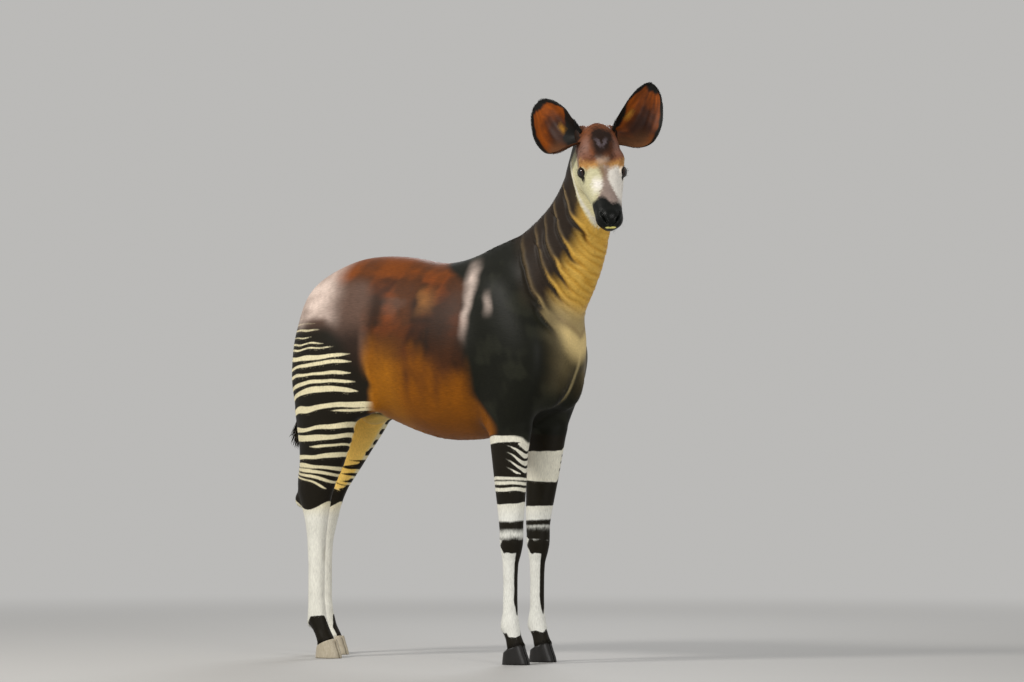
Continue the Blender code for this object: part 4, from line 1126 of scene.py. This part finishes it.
def earSheet(side):
    # the ear's middle surface as a grid, with the way that its cup opens
    carried = ears[side]
    grow = carried["grow"]
    axis = unit(carried["axis"])
    width = unit(carried["lobe"] - axis * (axis @ carried["lobe"]))
    opening = np.cross(axis, width)
    opening = opening if opening @ pictureNear > 0 else -opening
    root = headPoint(*carried["root"])
    share = ears["margins"][0][0] + (1 - ears["margins"][0][0]) * np.linspace(0, 1, ears["rows"]) ** 0.9
    inner, outer, roll = smoothRun(ears["margins"], share).T
    inner = inner * (1 + (grow[0] - 1) * softStep(share, 0.2, 0.5))
    outer = outer * (1 + (grow[1] - 1) * softStep(0.4 - share, 0, 0.3))
    roll = np.radians(roll)
    half, middle = (inner + outer) / 2, (outer - inner) / 2
    radius = np.where(roll < math.pi / 2, half / np.sin(np.minimum(roll, math.pi / 2)), half)
    t = np.linspace(-1, 1, ears["columns"])[None]
    share, roll, radius, middle = (v[:, None] for v in (share, roll, radius, middle))
    sag = ears["lobeSag"] * np.maximum(0, t) * (1 - np.maximum(share, 0)) ** 2
    deep = radius * (1 - np.cos(t * roll)) - ears["bow"] * np.sin(math.pi * np.maximum(share, 0))
    # faint ribs run from the root to the tip on the inside
    deep = deep + ears["ribs"] * np.cos(t * 15) * bump(share, 0.45, 0.45) * (1 - t * t)
    grid = (root + axis * (ears["length"] * share - sag)[..., None]
            + width * (middle + radius * np.sin(t * roll))[..., None] + opening * deep[..., None])
    return grid, share + 0 * t, t + 0 * share, opening


def earColours(share, t, front, side):
    n = share.size
    share, t = share.ravel(), t.ravel()
    carried = ears[side]
    w = wobble(np.stack([share * 0.23, t * 0.08, np.full(n, side * 0.5)], 1), 0.05, 71)
    ribs = wobble(np.stack([share * 0.05, t * 0.08, np.full(n, side * 0.5)], 1), 0.02, 72)
    if front:
        colour = evenCoat("earOrange", n)
        colour = layer(colour, "earDark", carried["dark"] * (0.5 + 0.3 * ribs))
        hollow = np.hypot((share - 0.36) / 0.55, (t - 0.02 - 0.12 * side) / 0.80) + 0.10 * w
        colour = layers(colour, [
            ("earDark", softStep(1.05 - hollow, 0, 0.75) * 0.94),
            ("earLow", softStep(0.46 - share, 0, 0.28) * softStep(t, -0.1, 0.5) * 0.90),
        ])
        tuftOn = bump(share, 0.36, 0.16) * bump(t, carried["tuft"], 0.17)
        colour = layers(colour, [
            ("earTuft", tuftOn * (0.6 + 0.3 * ribs)),
            ("earBlack", softStep(carried["reach"] - share - carried["patch"] * (t + 1) + 0.03 * w, 0,
                                  0.07)),
        ])
        outer = 0.040 + 0.150 * softStep(share, 0.14, 0.36)
        inner = 0.040 + 0.150 * softStep(share, 0.50, 0.86)
        edge = np.minimum((1 - t) / outer, (1 + t) / inner)
        edge = np.minimum(edge, (1 - share) / 0.105) + 0.22 * w
        colour = layer(colour, "earBlack", softStep(1.0 - edge, -0.25, 0.25))
    else:
        colour = evenCoat("earBlack", n)
        colour = layer(colour, "crown",
                       softStep(0.62 - share + 0.08 * w, 0, 0.4) * softStep(t, -0.2, 0.6) * 0.6)
    return colour


def makeEar(side):
    grid, share, t, opening = earSheet(side)
    rows, columns = grid.shape[:2]
    down = np.gradient(grid, axis=0)
    across = np.gradient(grid, axis=1)
    normal = np.cross(down, across)
    normal /= np.linalg.norm(normal, axis=2)[..., None]
    if (normal[rows // 2, columns // 2] @ opening) < 0:
        normal = -normal
    edge = np.minimum(1 - np.abs(t), (1 - share) * 2)
    half = ears["rimHalf"] + (ears["midHalf"] - ears["rimHalf"]) * softStep(edge, 0, 0.5)
    front, back = grid + normal * half[..., None], grid - normal * half[..., None]
    points = np.concatenate([front.reshape(-1, 3), back.reshape(-1, 3)])
    count = rows * columns
    faces = []
    for r in range(rows - 1):
        for c in range(columns - 1):
            a = r * columns + c
            quad = (a, a + 1, a + columns + 1, a + columns)
            faces.append(quad)
            faces.append(tuple(v + count for v in reversed(quad)))
    ring = [c for c in range(columns)] + [r * columns + columns - 1 for r in range(1, rows)]
    ring += ([(rows - 1) * columns + c for c in range(columns - 2, -1, -1)]
             + [r * columns for r in range(rows - 2, 0, -1)])
    for a, b in zip(ring, ring[1:] + ring[:1]):
        faces.append((b, a, a + count, b + count))
    name = "ear_" + sideNames[side]
    mesh = meshFrom(name + "_skin", points, faces)
    work = bmesh.new()
    work.from_mesh(mesh)
    bmesh.ops.recalc_face_normals(work, faces=work.faces)
    work.to_mesh(mesh)
    work.free()
    smoothShade(mesh)
    colour = np.concatenate([earColours(share, t, True, side), earColours(share, t, False, side)])
    giveMarkings(mesh, plainMarks(colour), np.ones(len(points)))
    addPiece(name + "_skin", mesh, skinCoat, [name])
    return grid, share, t, normal, half


earGrids = {side: makeEar(side) for side in (-1, 1)}
print("ears made")


# Eyes: dark wet balls with a broad level pupil

ball = {"segments": 48, "rings": 32, "bulge": 0.035}     # the cornea stands out by this share


def eyeMaterial():
    material, tree, shader = newMaterial("wet_eye")
    link = tree.links.new
    away = attribute(tree, "fromPupil").outputs["Fac"]
    ramp = addNode(tree, "ShaderNodeValToRGB")
    stops = ramp.color_ramp.elements
    stops[0].position, stops[0].color = 0.30, (0.004, 0.004, 0.006, 1)
    stops[1].position, stops[1].color = 1.0, (0.012, 0.009, 0.008, 1)
    for position, colour in ((0.36, (0.030, 0.014, 0.007, 1)), (0.62, (0.016, 0.008, 0.005, 1)),
                             (0.70, (0.006, 0.005, 0.005, 1))):
        stops.new(position).color = colour
    link(away, ramp.inputs[0])
    link(ramp.outputs[0], shader.inputs["Base Color"])
    shader.inputs["Roughness"].default_value = 0.05
    shader.inputs["Specular IOR Level"].default_value = 0.32
    shader.inputs["Coat Weight"].default_value = 0.25
    shader.inputs["Coat Roughness"].default_value = 0.02
    return material


def makeEyes():
    material = eyeMaterial()
    for side, name in ((-1, "eye_right"), (1, "eye_left")):
        gaze, inner, lift = eyeWays(side)
        work = bmesh.new()
        bmesh.ops.create_uvsphere(work, u_segments=ball["segments"], v_segments=ball["rings"], radius=1.0)
        unitPoints = np.array([v.co for v in work.verts])
        bulge = 1 + ball["bulge"] * softStep(unitPoints[:, 2], 0.72, 0.95)
        placed = eyeMiddles[side] + (unitPoints[:, :1] * inner + unitPoints[:, 1:2] * lift
                                     + unitPoints[:, 2:] * gaze) * (eyeRadius * bulge)[:, None]
        for v, p in zip(work.verts, placed):
            v.co = p
        bmesh.ops.recalc_face_normals(work, faces=work.faces)
        mesh = bpy.data.meshes.new(name + "_ball")
        work.to_mesh(mesh)
        work.free()
        level = np.hypot(unitPoints[:, 0] * 0.62, unitPoints[:, 1] * 1.25)
        fromMiddle = np.hypot(unitPoints[:, 0], unitPoints[:, 1])
        away = np.where(unitPoints[:, 2] > 0, np.where(fromMiddle < 0.5, level * 0.9, fromMiddle), 1.0)
        setFloats(mesh, "fromPupil", away)
        smoothShade(mesh)
        addPiece(name + "_ball", mesh, material, [name])


makeEyes()
print("eyes made")


# Hooves: each half worn smooth, dark in front and pale behind

horn = {
    "voxel": 0.0026,         # size of its faces
    "rounds": 5,             # of smoothing
    "worn": 0.0025,          # points lower than this lie on the floor
    "fore": ("dark_horn", "1c1916", "0b0a09"),      # material, its colour and its streaks
    "hind": ("pale_horn", "cdc4b0", "8d8068"),
}
hoofNames = [f"hoof_{end}_{side}_{half}" for end in ("fore", "hind") for side in ("left", "right")
             for half in ("inner", "outer")]


def hornMaterial(name, colour, streak):
    material, tree, shader = newMaterial(name)
    link = tree.links.new
    place = addNode(tree, "ShaderNodeTexCoord")
    grain = addNode(tree, "ShaderNodeMapping", {"Scale": (6.0, 6.0, 0.6)})
    fibres = addNode(tree, "ShaderNodeTexNoise", {"Scale": 60.0, "Detail": 3.0})
    rings = addNode(tree, "ShaderNodeTexWave", {"Scale": 42.0, "Distortion": 1.4, "Detail": 1.0},
                    bands_direction="Z")
    link(place.outputs["Object"], grain.inputs["Vector"])
    link(grain.outputs["Vector"], fibres.inputs["Vector"])
    link(place.outputs["Object"], rings.inputs["Vector"])
    link(mixColour(tree, fibres.outputs["Fac"], tone(colour), tone(streak)), shader.inputs["Base Color"])
    shader.inputs["Roughness"].default_value = 0.42
    shader.inputs["Specular IOR Level"].default_value = 0.4
    height = math2(tree, "MULTIPLY_ADD", rings.outputs["Fac"], 0.18, fibres.outputs["Fac"])
    relief = addNode(tree, "ShaderNodeBump", {"Strength": 0.25, "Distance": 0.0009})
    link(height, relief.inputs["Height"])
    link(relief.outputs["Normal"], shader.inputs["Normal"])
    return material


def makeHooves():
    materials = {end: hornMaterial(*horn[end]) for end in ("fore", "hind")}
    for name in hoofNames:
        points, faces = cleanNode(name, 0.0)
        mesh = remeshed(newObject(name + "_rough", meshFrom(name + "_horn", points, faces)), horn["voxel"])
        points = pointsOf(mesh)
        points = relax(points, edgesOf(mesh), horn["rounds"], np.full(len(points), 0.5))
        points[:, 2] = np.where(points[:, 2] < horn["worn"], 0.0, points[:, 2])
        setPoints(mesh, points)
        mesh.name = name + "_horn"
        smoothShade(mesh)
        addPiece(name + "_horn", mesh, materials[name.split("_")[1]], [name])


makeHooves()
print("hooves made")


# Coat: many thin closed tufts that lie along the body

def lieOf(points, normals):
    # the way the hair lies at each point, along the skin
    f, l, z = ownSpace(points)
    along, _, left = headSpace(points)
    body = np.array([0, 1.0, -0.35]) + 0 * points
    legs = np.array([0, 0.12, -1.0]) + 0 * points
    neckDown = unit(ownPoint(*neckRows[0]) - ownPoint(*neckRows[-1])) + 0 * points
    face = (-noseWay + sideWay * (np.sign(left) * softStep(np.abs(left), 0.01, 0.05) * 0.35)[:, None]
            - faceWay * 0.15)
    low = softStep(0.98 - z, 0, 0.12) * (np.abs(l) > 0.04)
    haunch = softStep(-0.15 - f, 0, 0.1) * softStep(1.35 - z, 0, 0.2)
    arm = softStep(f, 0.26, 0.36) * softStep(1.40 - z, 0, 0.25)
    limb = np.maximum(haunch, arm)[:, None]
    way = body * (1 - limb * 0.75) + legs * limb * 0.75
    way = blend(way, legs, low)
    neck = softStep(f + 0.75 * (z - 1.35), 0.50, 0.62)
    way = blend(way, neckDown, neck)
    head = softStep(along, 0.0, 0.05) * headShare(points)
    way = blend(way, face, head)
    return flattened(way, normals)


def scatter(corners, weights, count, draw):
    # points over triangles, by weight times area, with their shares of the three corners
    a, b, c = corners[:, 0], corners[:, 1], corners[:, 2]
    area = np.linalg.norm(np.cross(b - a, c - a), axis=1) * weights
    chosen = draw.choice(len(area), count, p=area / area.sum())
    r1, r2 = np.sqrt(draw.random(count)), draw.random(count)
    return chosen, np.stack([1 - r1, r1 * (1 - r2), r1 * r2], 1)


def tuftMesh(name, roots, normals, ways, lengths, widths, lifts, draw, unwrap, segments=2, curl=0.0,
             spread=0.22):
    # each tuft is a flat three-sided blade that tapers to its tip
    n = len(roots)
    spin = draw.normal(0, spread, n)
    across = np.cross(normals, ways)
    ways = ways * np.cos(spin)[:, None] + across * np.sin(spin)[:, None]
    across = np.cross(normals, ways)
    sideways = across * (draw.normal(0, 1, n) * curl)[:, None]
    rings = []
    for k in range(segments):
        s = k / segments
        middle = (roots - normals * 0.0010 + ways * (lengths * s)[:, None]
                  + sideways * (lengths * s * s)[:, None]
                  + normals * (lifts * lengths * (s ** 0.8))[:, None])
        half = (widths / 2 * (1 - 0.35 * s) * (0.75 if k == 0 else 1.0))[:, None]
        thick = normals * (widths * 0.32 * (1 - 0.4 * s))[:, None]
        rings.append(np.stack([middle - across * half, middle + across * half, middle + thick], 1))
    tip = (roots + ways * lengths[:, None] + sideways * lengths[:, None]
           + normals * (lifts * lengths * 0.82)[:, None])[:, None]
    points = np.concatenate(rings + [tip], 1)
    per = 3 * segments + 1
    faces = [(0, 2, 1)]
    for k in range(segments - 1):
        for j in range(3):
            a, b = 3 * k + j, 3 * k + (j + 1) % 3
            faces += [(a, b, b + 3), (a, b + 3, a + 3)]
    last = 3 * (segments - 1)
    faces += [(last + j, last + (j + 1) % 3, per - 1) for j in range(3)]
    faces = np.array(faces)
    triangles = (faces[None] + (np.arange(n) * per)[:, None, None]).reshape(-1, 3)
    mesh = bulkMesh(name, points.reshape(-1, 3), triangles)
    # shaded like the skin below, a little rounded across
    tilt = np.array([-0.35, 0.35, 0.0] * segments + [0.0])
    shading = unitRows((normals[:, None] + across[:, None] * tilt[None, :, None]).reshape(-1, 3))
    mesh.polygons.foreach_set("use_smooth", np.ones(len(mesh.polygons), bool))
    mesh.normals_split_custom_set_from_vertices(shading.tolist())
    # the bake's map: a small patch for each tuft at its root's place
    local = np.array([[(j - 1) * 0.5 if j < 2 else 0.0, k / segments] for k in range(segments)
                      for j in range(3)] + [[0.0, 1.0]])
    local[:, 0] *= 1 - 0.5 * local[:, 1]
    spots = unwrap[:, None] + local[None] * 0.003
    uv = spots.reshape(-1, 2)[triangles.ravel()]
    uvMap = mesh.uv_layers.new(name="OFBake")
    uvMap.data.foreach_set("uv", uv.astype(np.float32).ravel())
    return mesh, per


def unwrapSkin(points, owner):
    # each part of the skin unrolled round its own middle line, in its own place of a square
    f, l, z = ownSpace(points)
    along, rise, left = headSpace(points)
    length, angle, sideOut = neckSpace(points)
    place = np.zeros((len(points), 2))
    turn = np.arctan2(l, z - 1.15) / (2 * math.pi) + 0.5
    place[:] = np.stack([0.02 + 0.46 * turn, 0.02 + 0.46 * (f + 0.62) / 1.35], 1)
    neck = owner == 1
    place[neck] = np.stack([0.52 + 0.22 * (0.5 + np.sign(sideOut) * angle / (2 * math.pi)),
                            0.02 + 0.46 * (length + 0.1) / 0.95], 1)[neck]
    head = owner == 2
    turn = np.arctan2(left, rise + 0.085) / (2 * math.pi) + 0.5
    place[head] = np.stack([0.52 + 0.46 * turn, 0.52 + 0.46 * (along + 0.10) / 0.60], 1)[head]
    tail = owner == 3
    place[tail] = np.stack([0.76 + 0.10 * (l + 0.05) / 0.1, 0.02 + 0.46 * (z - 0.9) / 0.6], 1)[tail]
    for k in range(4, 8):
        leg = owner == k
        if leg.any():
            cx, cy = l[leg].mean(), f[leg].mean()
            turn = np.arctan2(l[leg] - cx, f[leg] - cy) / (2 * math.pi) + 0.5
            place[leg] = np.stack([0.02 + 0.12 * (k - 4) + 0.10 * turn, 0.52 + 0.46 * z[leg] / 0.95], 1)
    return np.clip(place, 0.001, 0.995)


coats = {
    # tufts, length, width and rise of the tips as a share of the length
    "torso": {"count": 19500, "length": 0.012, "width": 0.0013, "rise": 0.07, "slot": "body_coat"},
    "haunch": {"count": 14000, "length": 0.010, "width": 0.0012, "rise": 0.08, "slot": "body_coat"},
    "neck": {"count": 14000, "length": 0.011, "width": 0.0013, "rise": 0.09, "slot": "neck_coat"},
    "head": {"count": 18000, "length": 0.0050, "width": 0.0008, "rise": 0.10, "slot": "face_coat"},
    "forelegs": {"count": 15000, "length": 0.0075, "width": 0.0010, "rise": 0.09, "slot": "leg_coat"},
    "hindlegs": {"count": 16000, "length": 0.0080, "width": 0.0010, "rise": 0.09, "slot": "leg_coat"},
    "tail": {"count": 2600, "length": 0.012, "width": 0.0011, "rise": 0.12, "slot": "body_coat"},
    "coronet": {"count": 4200, "length": 0.015, "width": 0.0011, "rise": 0.20, "slot": "leg_coat"},
}


class Skin:
    # the finished skin's arrays, kept for growing the coat
    def __init__(self, mesh, owner, marks):
        mesh.calc_loop_triangles()
        flat = np.empty(len(mesh.loop_triangles) * 3, np.int32)
        mesh.loop_triangles.foreach_get("vertices", flat)
        self.triangles = flat.reshape(-1, 3)
        self.points, self.normals = pointsOf(mesh), normalsOf(mesh)
        self.owner, self.marks = owner, marks
        self.lie = lieOf(self.points, self.normals)


def blendAt(values, triangle, shares):
    found = values[triangle]
    if found.ndim == 2:
        return np.sum(found * shares, 1)
    return np.sum(found * shares[..., None], 1)


def growCoat(name, body, weight, rule, seed, longer=None):
    draw = np.random.default_rng(seed)
    corners = body.points[body.triangles]
    chosen, shares = scatter(corners, weight[body.triangles].mean(1), rule["count"], draw)
    triangle = body.triangles[chosen]
    roots = blendAt(body.points, triangle, shares)
    normals = blendAt(body.normals, triangle, shares)
    normals /= np.linalg.norm(normals, axis=1)[:, None]
    ways = blendAt(body.lie, triangle, shares)
    ways = flattened(ways, normals)
    n = len(roots)
    extra = np.ones(n) if longer is None else blendAt(longer, triangle, shares)
    lengths = rule["length"] * draw.uniform(0.7, 1.3, n) * extra
    widths = rule["width"] * draw.uniform(0.7, 1.25, n) * (0.7 + 0.3 * extra)
    lifts = rule["rise"] * draw.uniform(0.5, 1.4, n) * (0.75 + 0.25 * extra)
    owner = body.owner[triangle[:, 0]]
    mesh, per = tuftMesh(name, roots, normals, ways, lengths, widths, lifts, draw, unwrapSkin(roots, owner))
    marks = {key: np.repeat(blendAt(values, triangle, shares), per, axis=0)
             for key, values in body.marks.items()}
    giveMarkings(mesh, marks, np.repeat(draw.uniform(0.90, 1.12, n), per))
    addPiece(name, mesh, skinCoat, [])


def fringeShare(points, normals):
    # where the coat is longer and breaks the outline
    f, l, z = ownSpace(points)
    along, rise, left = headSpace(points)
    length, angle, _ = neckSpace(points)
    onNeck = softStep(length, 0.05, 0.15) * softStep(0.75 - length, 0, 0.1)
    nape = softStep(angle, 2.75, 3.05) * onNeck
    spine = (softStep(0.03 - np.abs(l), 0, 0.02) * softStep(normals[:, 2], 0.8, 0.95)
             * softStep(0.5 - f, 0, 0.1))
    belly = softStep(-normals[:, 2], 0.75, 0.95) * bump(f, 0.05, 0.35) * (z < 0.95)
    brisket = softStep(f, 0.55, 0.62) * bump(z, 1.02, 0.14) * softStep(0.10 - np.abs(l), 0, 0.05)
    elbow = bump(f, 0.345, 0.05) * bump(z, 0.90, 0.08)
    thigh = softStep(normals[:, 1], 0.75, 0.95) * softStep(-0.45 - f, 0, 0.05) * softStep(z, 0.62, 0.7)
    heel = softStep(normals[:, 1], 0.3, 0.8) * bump(z, 0.125, 0.045)
    chin = softStep(-rise - 0.088, 0, 0.012) * softStep(along, 0.36, 0.42) * headShare(points)
    crest = softStep(0.02 - np.abs(left), 0, 0.015) * softStep(0.03 - along, 0, 0.04) * headShare(points)
    share = 0.9 * nape + 0.4 * spine + 0.9 * belly + 0.9 * brisket + 0.8 * elbow + 0.5 * thigh + 1.1 * heel
    return share + 0.9 * chin + 0.9 * crest


def nearHooves(points, reach):
    # which points lie close to a hoof, where the hair hangs over the horn's edge
    hooves = np.concatenate([cleanNode(name, 0.0)[0] for name in hoofNames])
    tree = KDTree(len(hooves))
    for k, place in enumerate(hooves):
        tree.insert(place, k)
    tree.balance()
    low = points[:, 2] < 0.12
    near = np.zeros(len(points), bool)
    near[low] = [tree.find(p)[2] < reach for p in points[low]]
    return near


def makeCoats():
    body = Skin(skinMesh, owner, marks)
    f, _, z = ownSpace(body.points)
    fringe = fringeShare(body.points, body.normals)
    longer, denser = 1 + fringe, 1 + 1.6 * fringe
    on = {
        "torso": (body.owner == 0) & ~((f < -0.16) & (z < 1.30)),
        "haunch": (body.owner == 0) & (f < -0.16) & (z < 1.30),
        "neck": body.owner == 1,
        "head": body.owner == 2,
        "tail": body.owner == 3,
        "forelegs": (body.owner == 4) | (body.owner == 5),
        "hindlegs": (body.owner == 6) | (body.owner == 7),
        "coronet": nearHooves(body.points, 0.013) & (body.normals[:, 2] > -0.5),
    }
    # the wet nose and the lids' insides stay bare
    bare = softStep(0.5 - body.marks["wet"], 0, 0.3)
    for side in (-1, 1):
        gap = np.linalg.norm(body.points - eyeMiddles[side], axis=1)
        bare = bare * softStep(gap - eyeRadius, 0.0005, 0.003)
    for k, (name, where) in enumerate(on.items()):
        growCoat("coat_" + name, body, where * denser * bare, coats[name], 100 + k, longer)
    return body


body = makeCoats()
print("coat grown")


# Long hairs: lashes, whiskers, and fringes of the ears

longHairs = {
    "lashes": {"count": 84, "length": 0.0092, "width": 0.0006},
    "whiskers": {"count": 44, "length": 0.021, "width": 0.0005},
    "earRim": {"count": 1500, "length": 0.0065, "width": 0.0007},
    "earTuft": {"count": 420, "length": 0.014, "width": 0.0006},
    "earRoot": {"count": 900, "length": 0.013, "width": 0.0010},
}


def growHairs(name, slot, rule, roots, normals, ways, colours, lifts, seed, segments=3, curl=0.05,
              spread=0.1):
    draw = np.random.default_rng(seed)
    n = len(roots)
    normals, ways = unitRows(normals), unitRows(ways)
    ways = flattened(ways, normals)
    lengths = rule["length"] * draw.uniform(0.65, 1.15, n)
    widths = rule["width"] * draw.uniform(0.8, 1.2, n)
    mesh, per = tuftMesh(name, roots, normals, ways, lengths, widths, lifts * draw.uniform(0.7, 1.3, n),
                         draw, unwrapSkin(roots, np.full(n, 2)), segments, curl, spread)
    shade = np.repeat(draw.uniform(0.85, 1.2, n), per)
    giveMarkings(mesh, plainMarks(np.repeat(colours, per, axis=0)), shade)
    addPiece(name, mesh, skinCoat, [])


def makeLashes(side):
    draw = np.random.default_rng(40 + side)
    gaze, inner, lift = eyeWays(side)
    n = longHairs["lashes"]["count"]
    upper = draw.random(n) < 0.88
    x = draw.uniform(-0.92, 0.74, n) * lids["halfWidth"]
    span = 1 - (x / lids["halfWidth"]) ** 2
    y = np.where(upper, lids["top"] * span ** 0.75 + 0.07, -lids["low"] * span ** 0.85 - 0.07)
    deep = np.sqrt(np.clip(1 - x * x - y * y, 0.05, 1))
    outward = x[:, None] * inner + y[:, None] * lift + deep[:, None] * gaze
    roots = eyeMiddles[side] + outward * (eyeRadius + lids["thickness"] + 0.0003)
    ways = (np.where(upper[:, None], gaze * 0.95 + lift * 0.25, gaze * 0.6 - lift * 0.8)
            + inner * (x * 0.5 - 0.35)[:, None])
    normals = np.cross(ways, np.broadcast_to(inner, ways.shape)) * np.where(upper, 1, -1)[:, None]
    colours = evenCoat("nose", n)
    growHairs("coat_lashes_" + sideNames[side], "face_coat", longHairs["lashes"], roots, normals, ways,
              colours, np.where(upper, -0.22, 0.1), 50 + side, 4, 0.04, 0.06)


def makeWhiskers(body):
    draw = np.random.default_rng(60)
    along, rise, left = headSpace(body.points)
    where = (body.owner == 2) & (along > 0.385) & (rise < -0.035) & (np.abs(left) > 0.012)
    picked = draw.choice(np.flatnonzero(where), longHairs["whiskers"]["count"], replace=False)
    roots, normals = body.points[picked], body.normals[picked]
    ways = normals * 0.9 + noseWay * 0.2 - up * 0.5
    colours = evenCoat("muzzleGrey", len(picked)) * 0.35
    across = np.cross(ways, np.broadcast_to(up, ways.shape))
    growHairs("coat_whiskers", "face_coat", longHairs["whiskers"], roots, np.cross(across, ways), ways,
              colours, np.full(len(picked), 0.0), 61, 4, 0.15, 0.2)


def earHair(side, kind, shares, columns, outward, seed):
    # hairs rooted on the ear's grid, lying towards the tip
    grid, share, t, normal, half = earGrids[side]
    draw = np.random.default_rng(seed)
    n = longHairs[kind]["count"]
    r = np.searchsorted(share[:, 0], draw.uniform(*shares, n)).clip(1, len(grid) - 2)
    c = np.clip(np.round((draw.uniform(*columns, n) + 1) / 2 * (grid.shape[1] - 1)), 0,
                grid.shape[1] - 1).astype(int)
    if kind == "earRim":
        c = np.where(draw.random(n) < 0.5, 0, grid.shape[1] - 1)
    way = unitRows(grid[r + 1, c] - grid[r - 1, c])
    normals = normal[r, c] * outward
    roots = grid[r, c] + normals * half[r, c][:, None]
    jitter = draw.uniform(-0.5, 0.5, (n, 1))
    roots = roots + jitter * (grid[r + 1, c] - grid[r, c])
    if kind == "earRim":
        edge = unitRows(grid[r, c] - grid[r, np.where(c == 0, 2, c - 2)])
        way = way + edge * draw.uniform(0.3, 1.1, (n, 1))
    colours = earColours(share[r, c], t[r, c], outward > 0, side)
    if kind == "earTuft":
        colours = layer(colours, "earTuft", np.full(n, 0.25))
        way = way + normals * 0.15
    return roots, normals, way, colours


def makeEarHair(side):
    middle = ears[side]["tuft"]
    rows = [("earRim", (0.12, 0.99), (-1, 1), 1, 0.05),
            ("earTuft", (0.24, 0.46), (middle - 0.15, middle + 0.15), 1, 0.15),
            ("earRoot", (0.0, 0.16), (-1, 1), -1, 0.2)]
    for k, (kind, shares, columns, outward, lift) in enumerate(rows):
        found = earHair(side, kind, shares, columns, outward, 70 + 10 * k + side)
        growHairs(f"coat_{kind}_{sideNames[side]}", "ear_coat", longHairs[kind], *found,
                  np.full(longHairs[kind]["count"], lift), 90 + k, 2, 0.1, 0.15)


for side in (-1, 1):
    makeLashes(side)
    makeEarHair(side)
makeWhiskers(body)
print("long hairs grown")


# Tail tuft: long black locks from the tail's end

tuft = {"locks": 340, "length": 0.135, "width": 0.0042, "root": 0.0085, "rows": 0.055}


def makeTuft():
    draw = np.random.default_rng(7)
    low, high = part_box("tail_tuft")
    n = tuft["locks"]
    angle = draw.uniform(0, 2 * math.pi, n)
    height = draw.uniform(0, 1, n)
    middle = np.array([(low.x + high.x) / 2, (low.y + high.y) / 2, high.z])
    outward = np.stack([np.cos(angle), np.sin(angle), np.zeros(n)], 1)
    roots = middle + outward * tuft["root"] - up * (height * tuft["rows"])[:, None] + up * 0.012
    ways = unitRows(outward * 0.10 - up)
    normals = flattened(outward, ways)
    lengths = tuft["length"] * draw.uniform(0.65, 1.0, n) * (1 - 0.25 * height)
    widths = tuft["width"] * draw.uniform(0.6, 1.2, n)
    lifts = draw.uniform(-0.02, 0.10, n)
    spots = np.stack([0.1 + 0.8 * angle / (2 * math.pi), 0.1 + 0.8 * height], 1)
    mesh, per = tuftMesh("tail_tuft_hair", roots, normals, ways, lengths, widths, lifts, draw, spots, 4,
                         0.08)
    giveMarkings(mesh, plainMarks(evenCoat("ink", n * per)), np.repeat(draw.uniform(0.6, 1.5, n), per))
    addPiece("tail_tuft_hair", mesh, skinCoat, ["tail_tuft"])


makeTuft()
print("tuft made")


# Studio: pale floor that fades into the pale surround, soft lights

studio = {
    "pale": (0.80, 0.79, 0.77),
    "floor": 0.52,           # the floor's colour as a share of the pale one
    "half": 60,              # half the floor's width
    "fadeFrom": 1.6,         # metres from the middle
    "fadeTo": 9.0,
    "surround": 0.62,
    # name, place, target, size, watts and colour
    "lights": [("key", (-4.6, 1.6, 4.8), (0, 0, 1.1), 1.4, 260, (1.0, 0.97, 0.92)),
               ("front", (-3.2, -5.5, 2.6), (0, -0.2, 1.1), 2.0, 115, (1.0, 0.98, 0.96)),
               ("rim", (4.2, 2.2, 3.8), (0, 0, 1.2), 2.0, 90, (0.95, 0.97, 1.0))],
}


def makeFloor():
    h, z = studio["half"], -0.0005
    mesh = meshFrom("floor", [(-h, -h, z), (h, -h, z), (h, h, z), (-h, h, z)], [(0, 1, 2, 3)])
    obj = newObject("floor", mesh)
    material, tree, shader = newMaterial("studio_floor")
    link = tree.links.new
    shader.inputs["Base Color"].default_value = (*(v * studio["floor"] for v in studio["pale"]), 1.0)
    shader.inputs["Roughness"].default_value = 0.75
    place = addNode(tree, "ShaderNodeTexCoord")
    length = addNode(tree, "ShaderNodeVectorMath", operation="LENGTH")
    link(place.outputs["Object"], length.inputs[0])
    fade = addNode(tree, "ShaderNodeMapRange", {1: studio["fadeFrom"], 2: studio["fadeTo"]},
                   interpolation_type="SMOOTHSTEP")
    link(length.outputs["Value"], fade.inputs[0])
    glow = addNode(tree, "ShaderNodeEmission",
                   {"Color": (*studio["pale"], 1.0), "Strength": studio["surround"]})
    mix = addNode(tree, "ShaderNodeMixShader")
    link(fade.outputs[0], mix.inputs[0])
    link(shader.outputs[0], mix.inputs[1])
    link(glow.outputs[0], mix.inputs[2])
    link(mix.outputs[0], tree.nodes["Material Output"].inputs["Surface"])
    mesh.materials.append(material)


def makeLight(name, place, target, size, power, colour):
    data = bpy.data.lights.new(name, "AREA")
    data.shape = "DISK"
    data.size = size
    data.energy = power
    data.color = colour
    aim(bpy.data.objects.new(name, data), place, target)


def makeStudio():
    makeFloor()
    world = bpy.data.worlds.new("surround")
    world.use_nodes = True
    sky = world.node_tree.nodes["Background"].inputs
    sky["Color"].default_value = (*studio["pale"], 1.0)
    sky["Strength"].default_value = studio["surround"]
    bpy.context.scene.world = world
    for row in studio["lights"]:
        makeLight(*row)


makeStudio()
bpy.context.scene.view_settings.view_transform = "Standard"
print("studio lit")
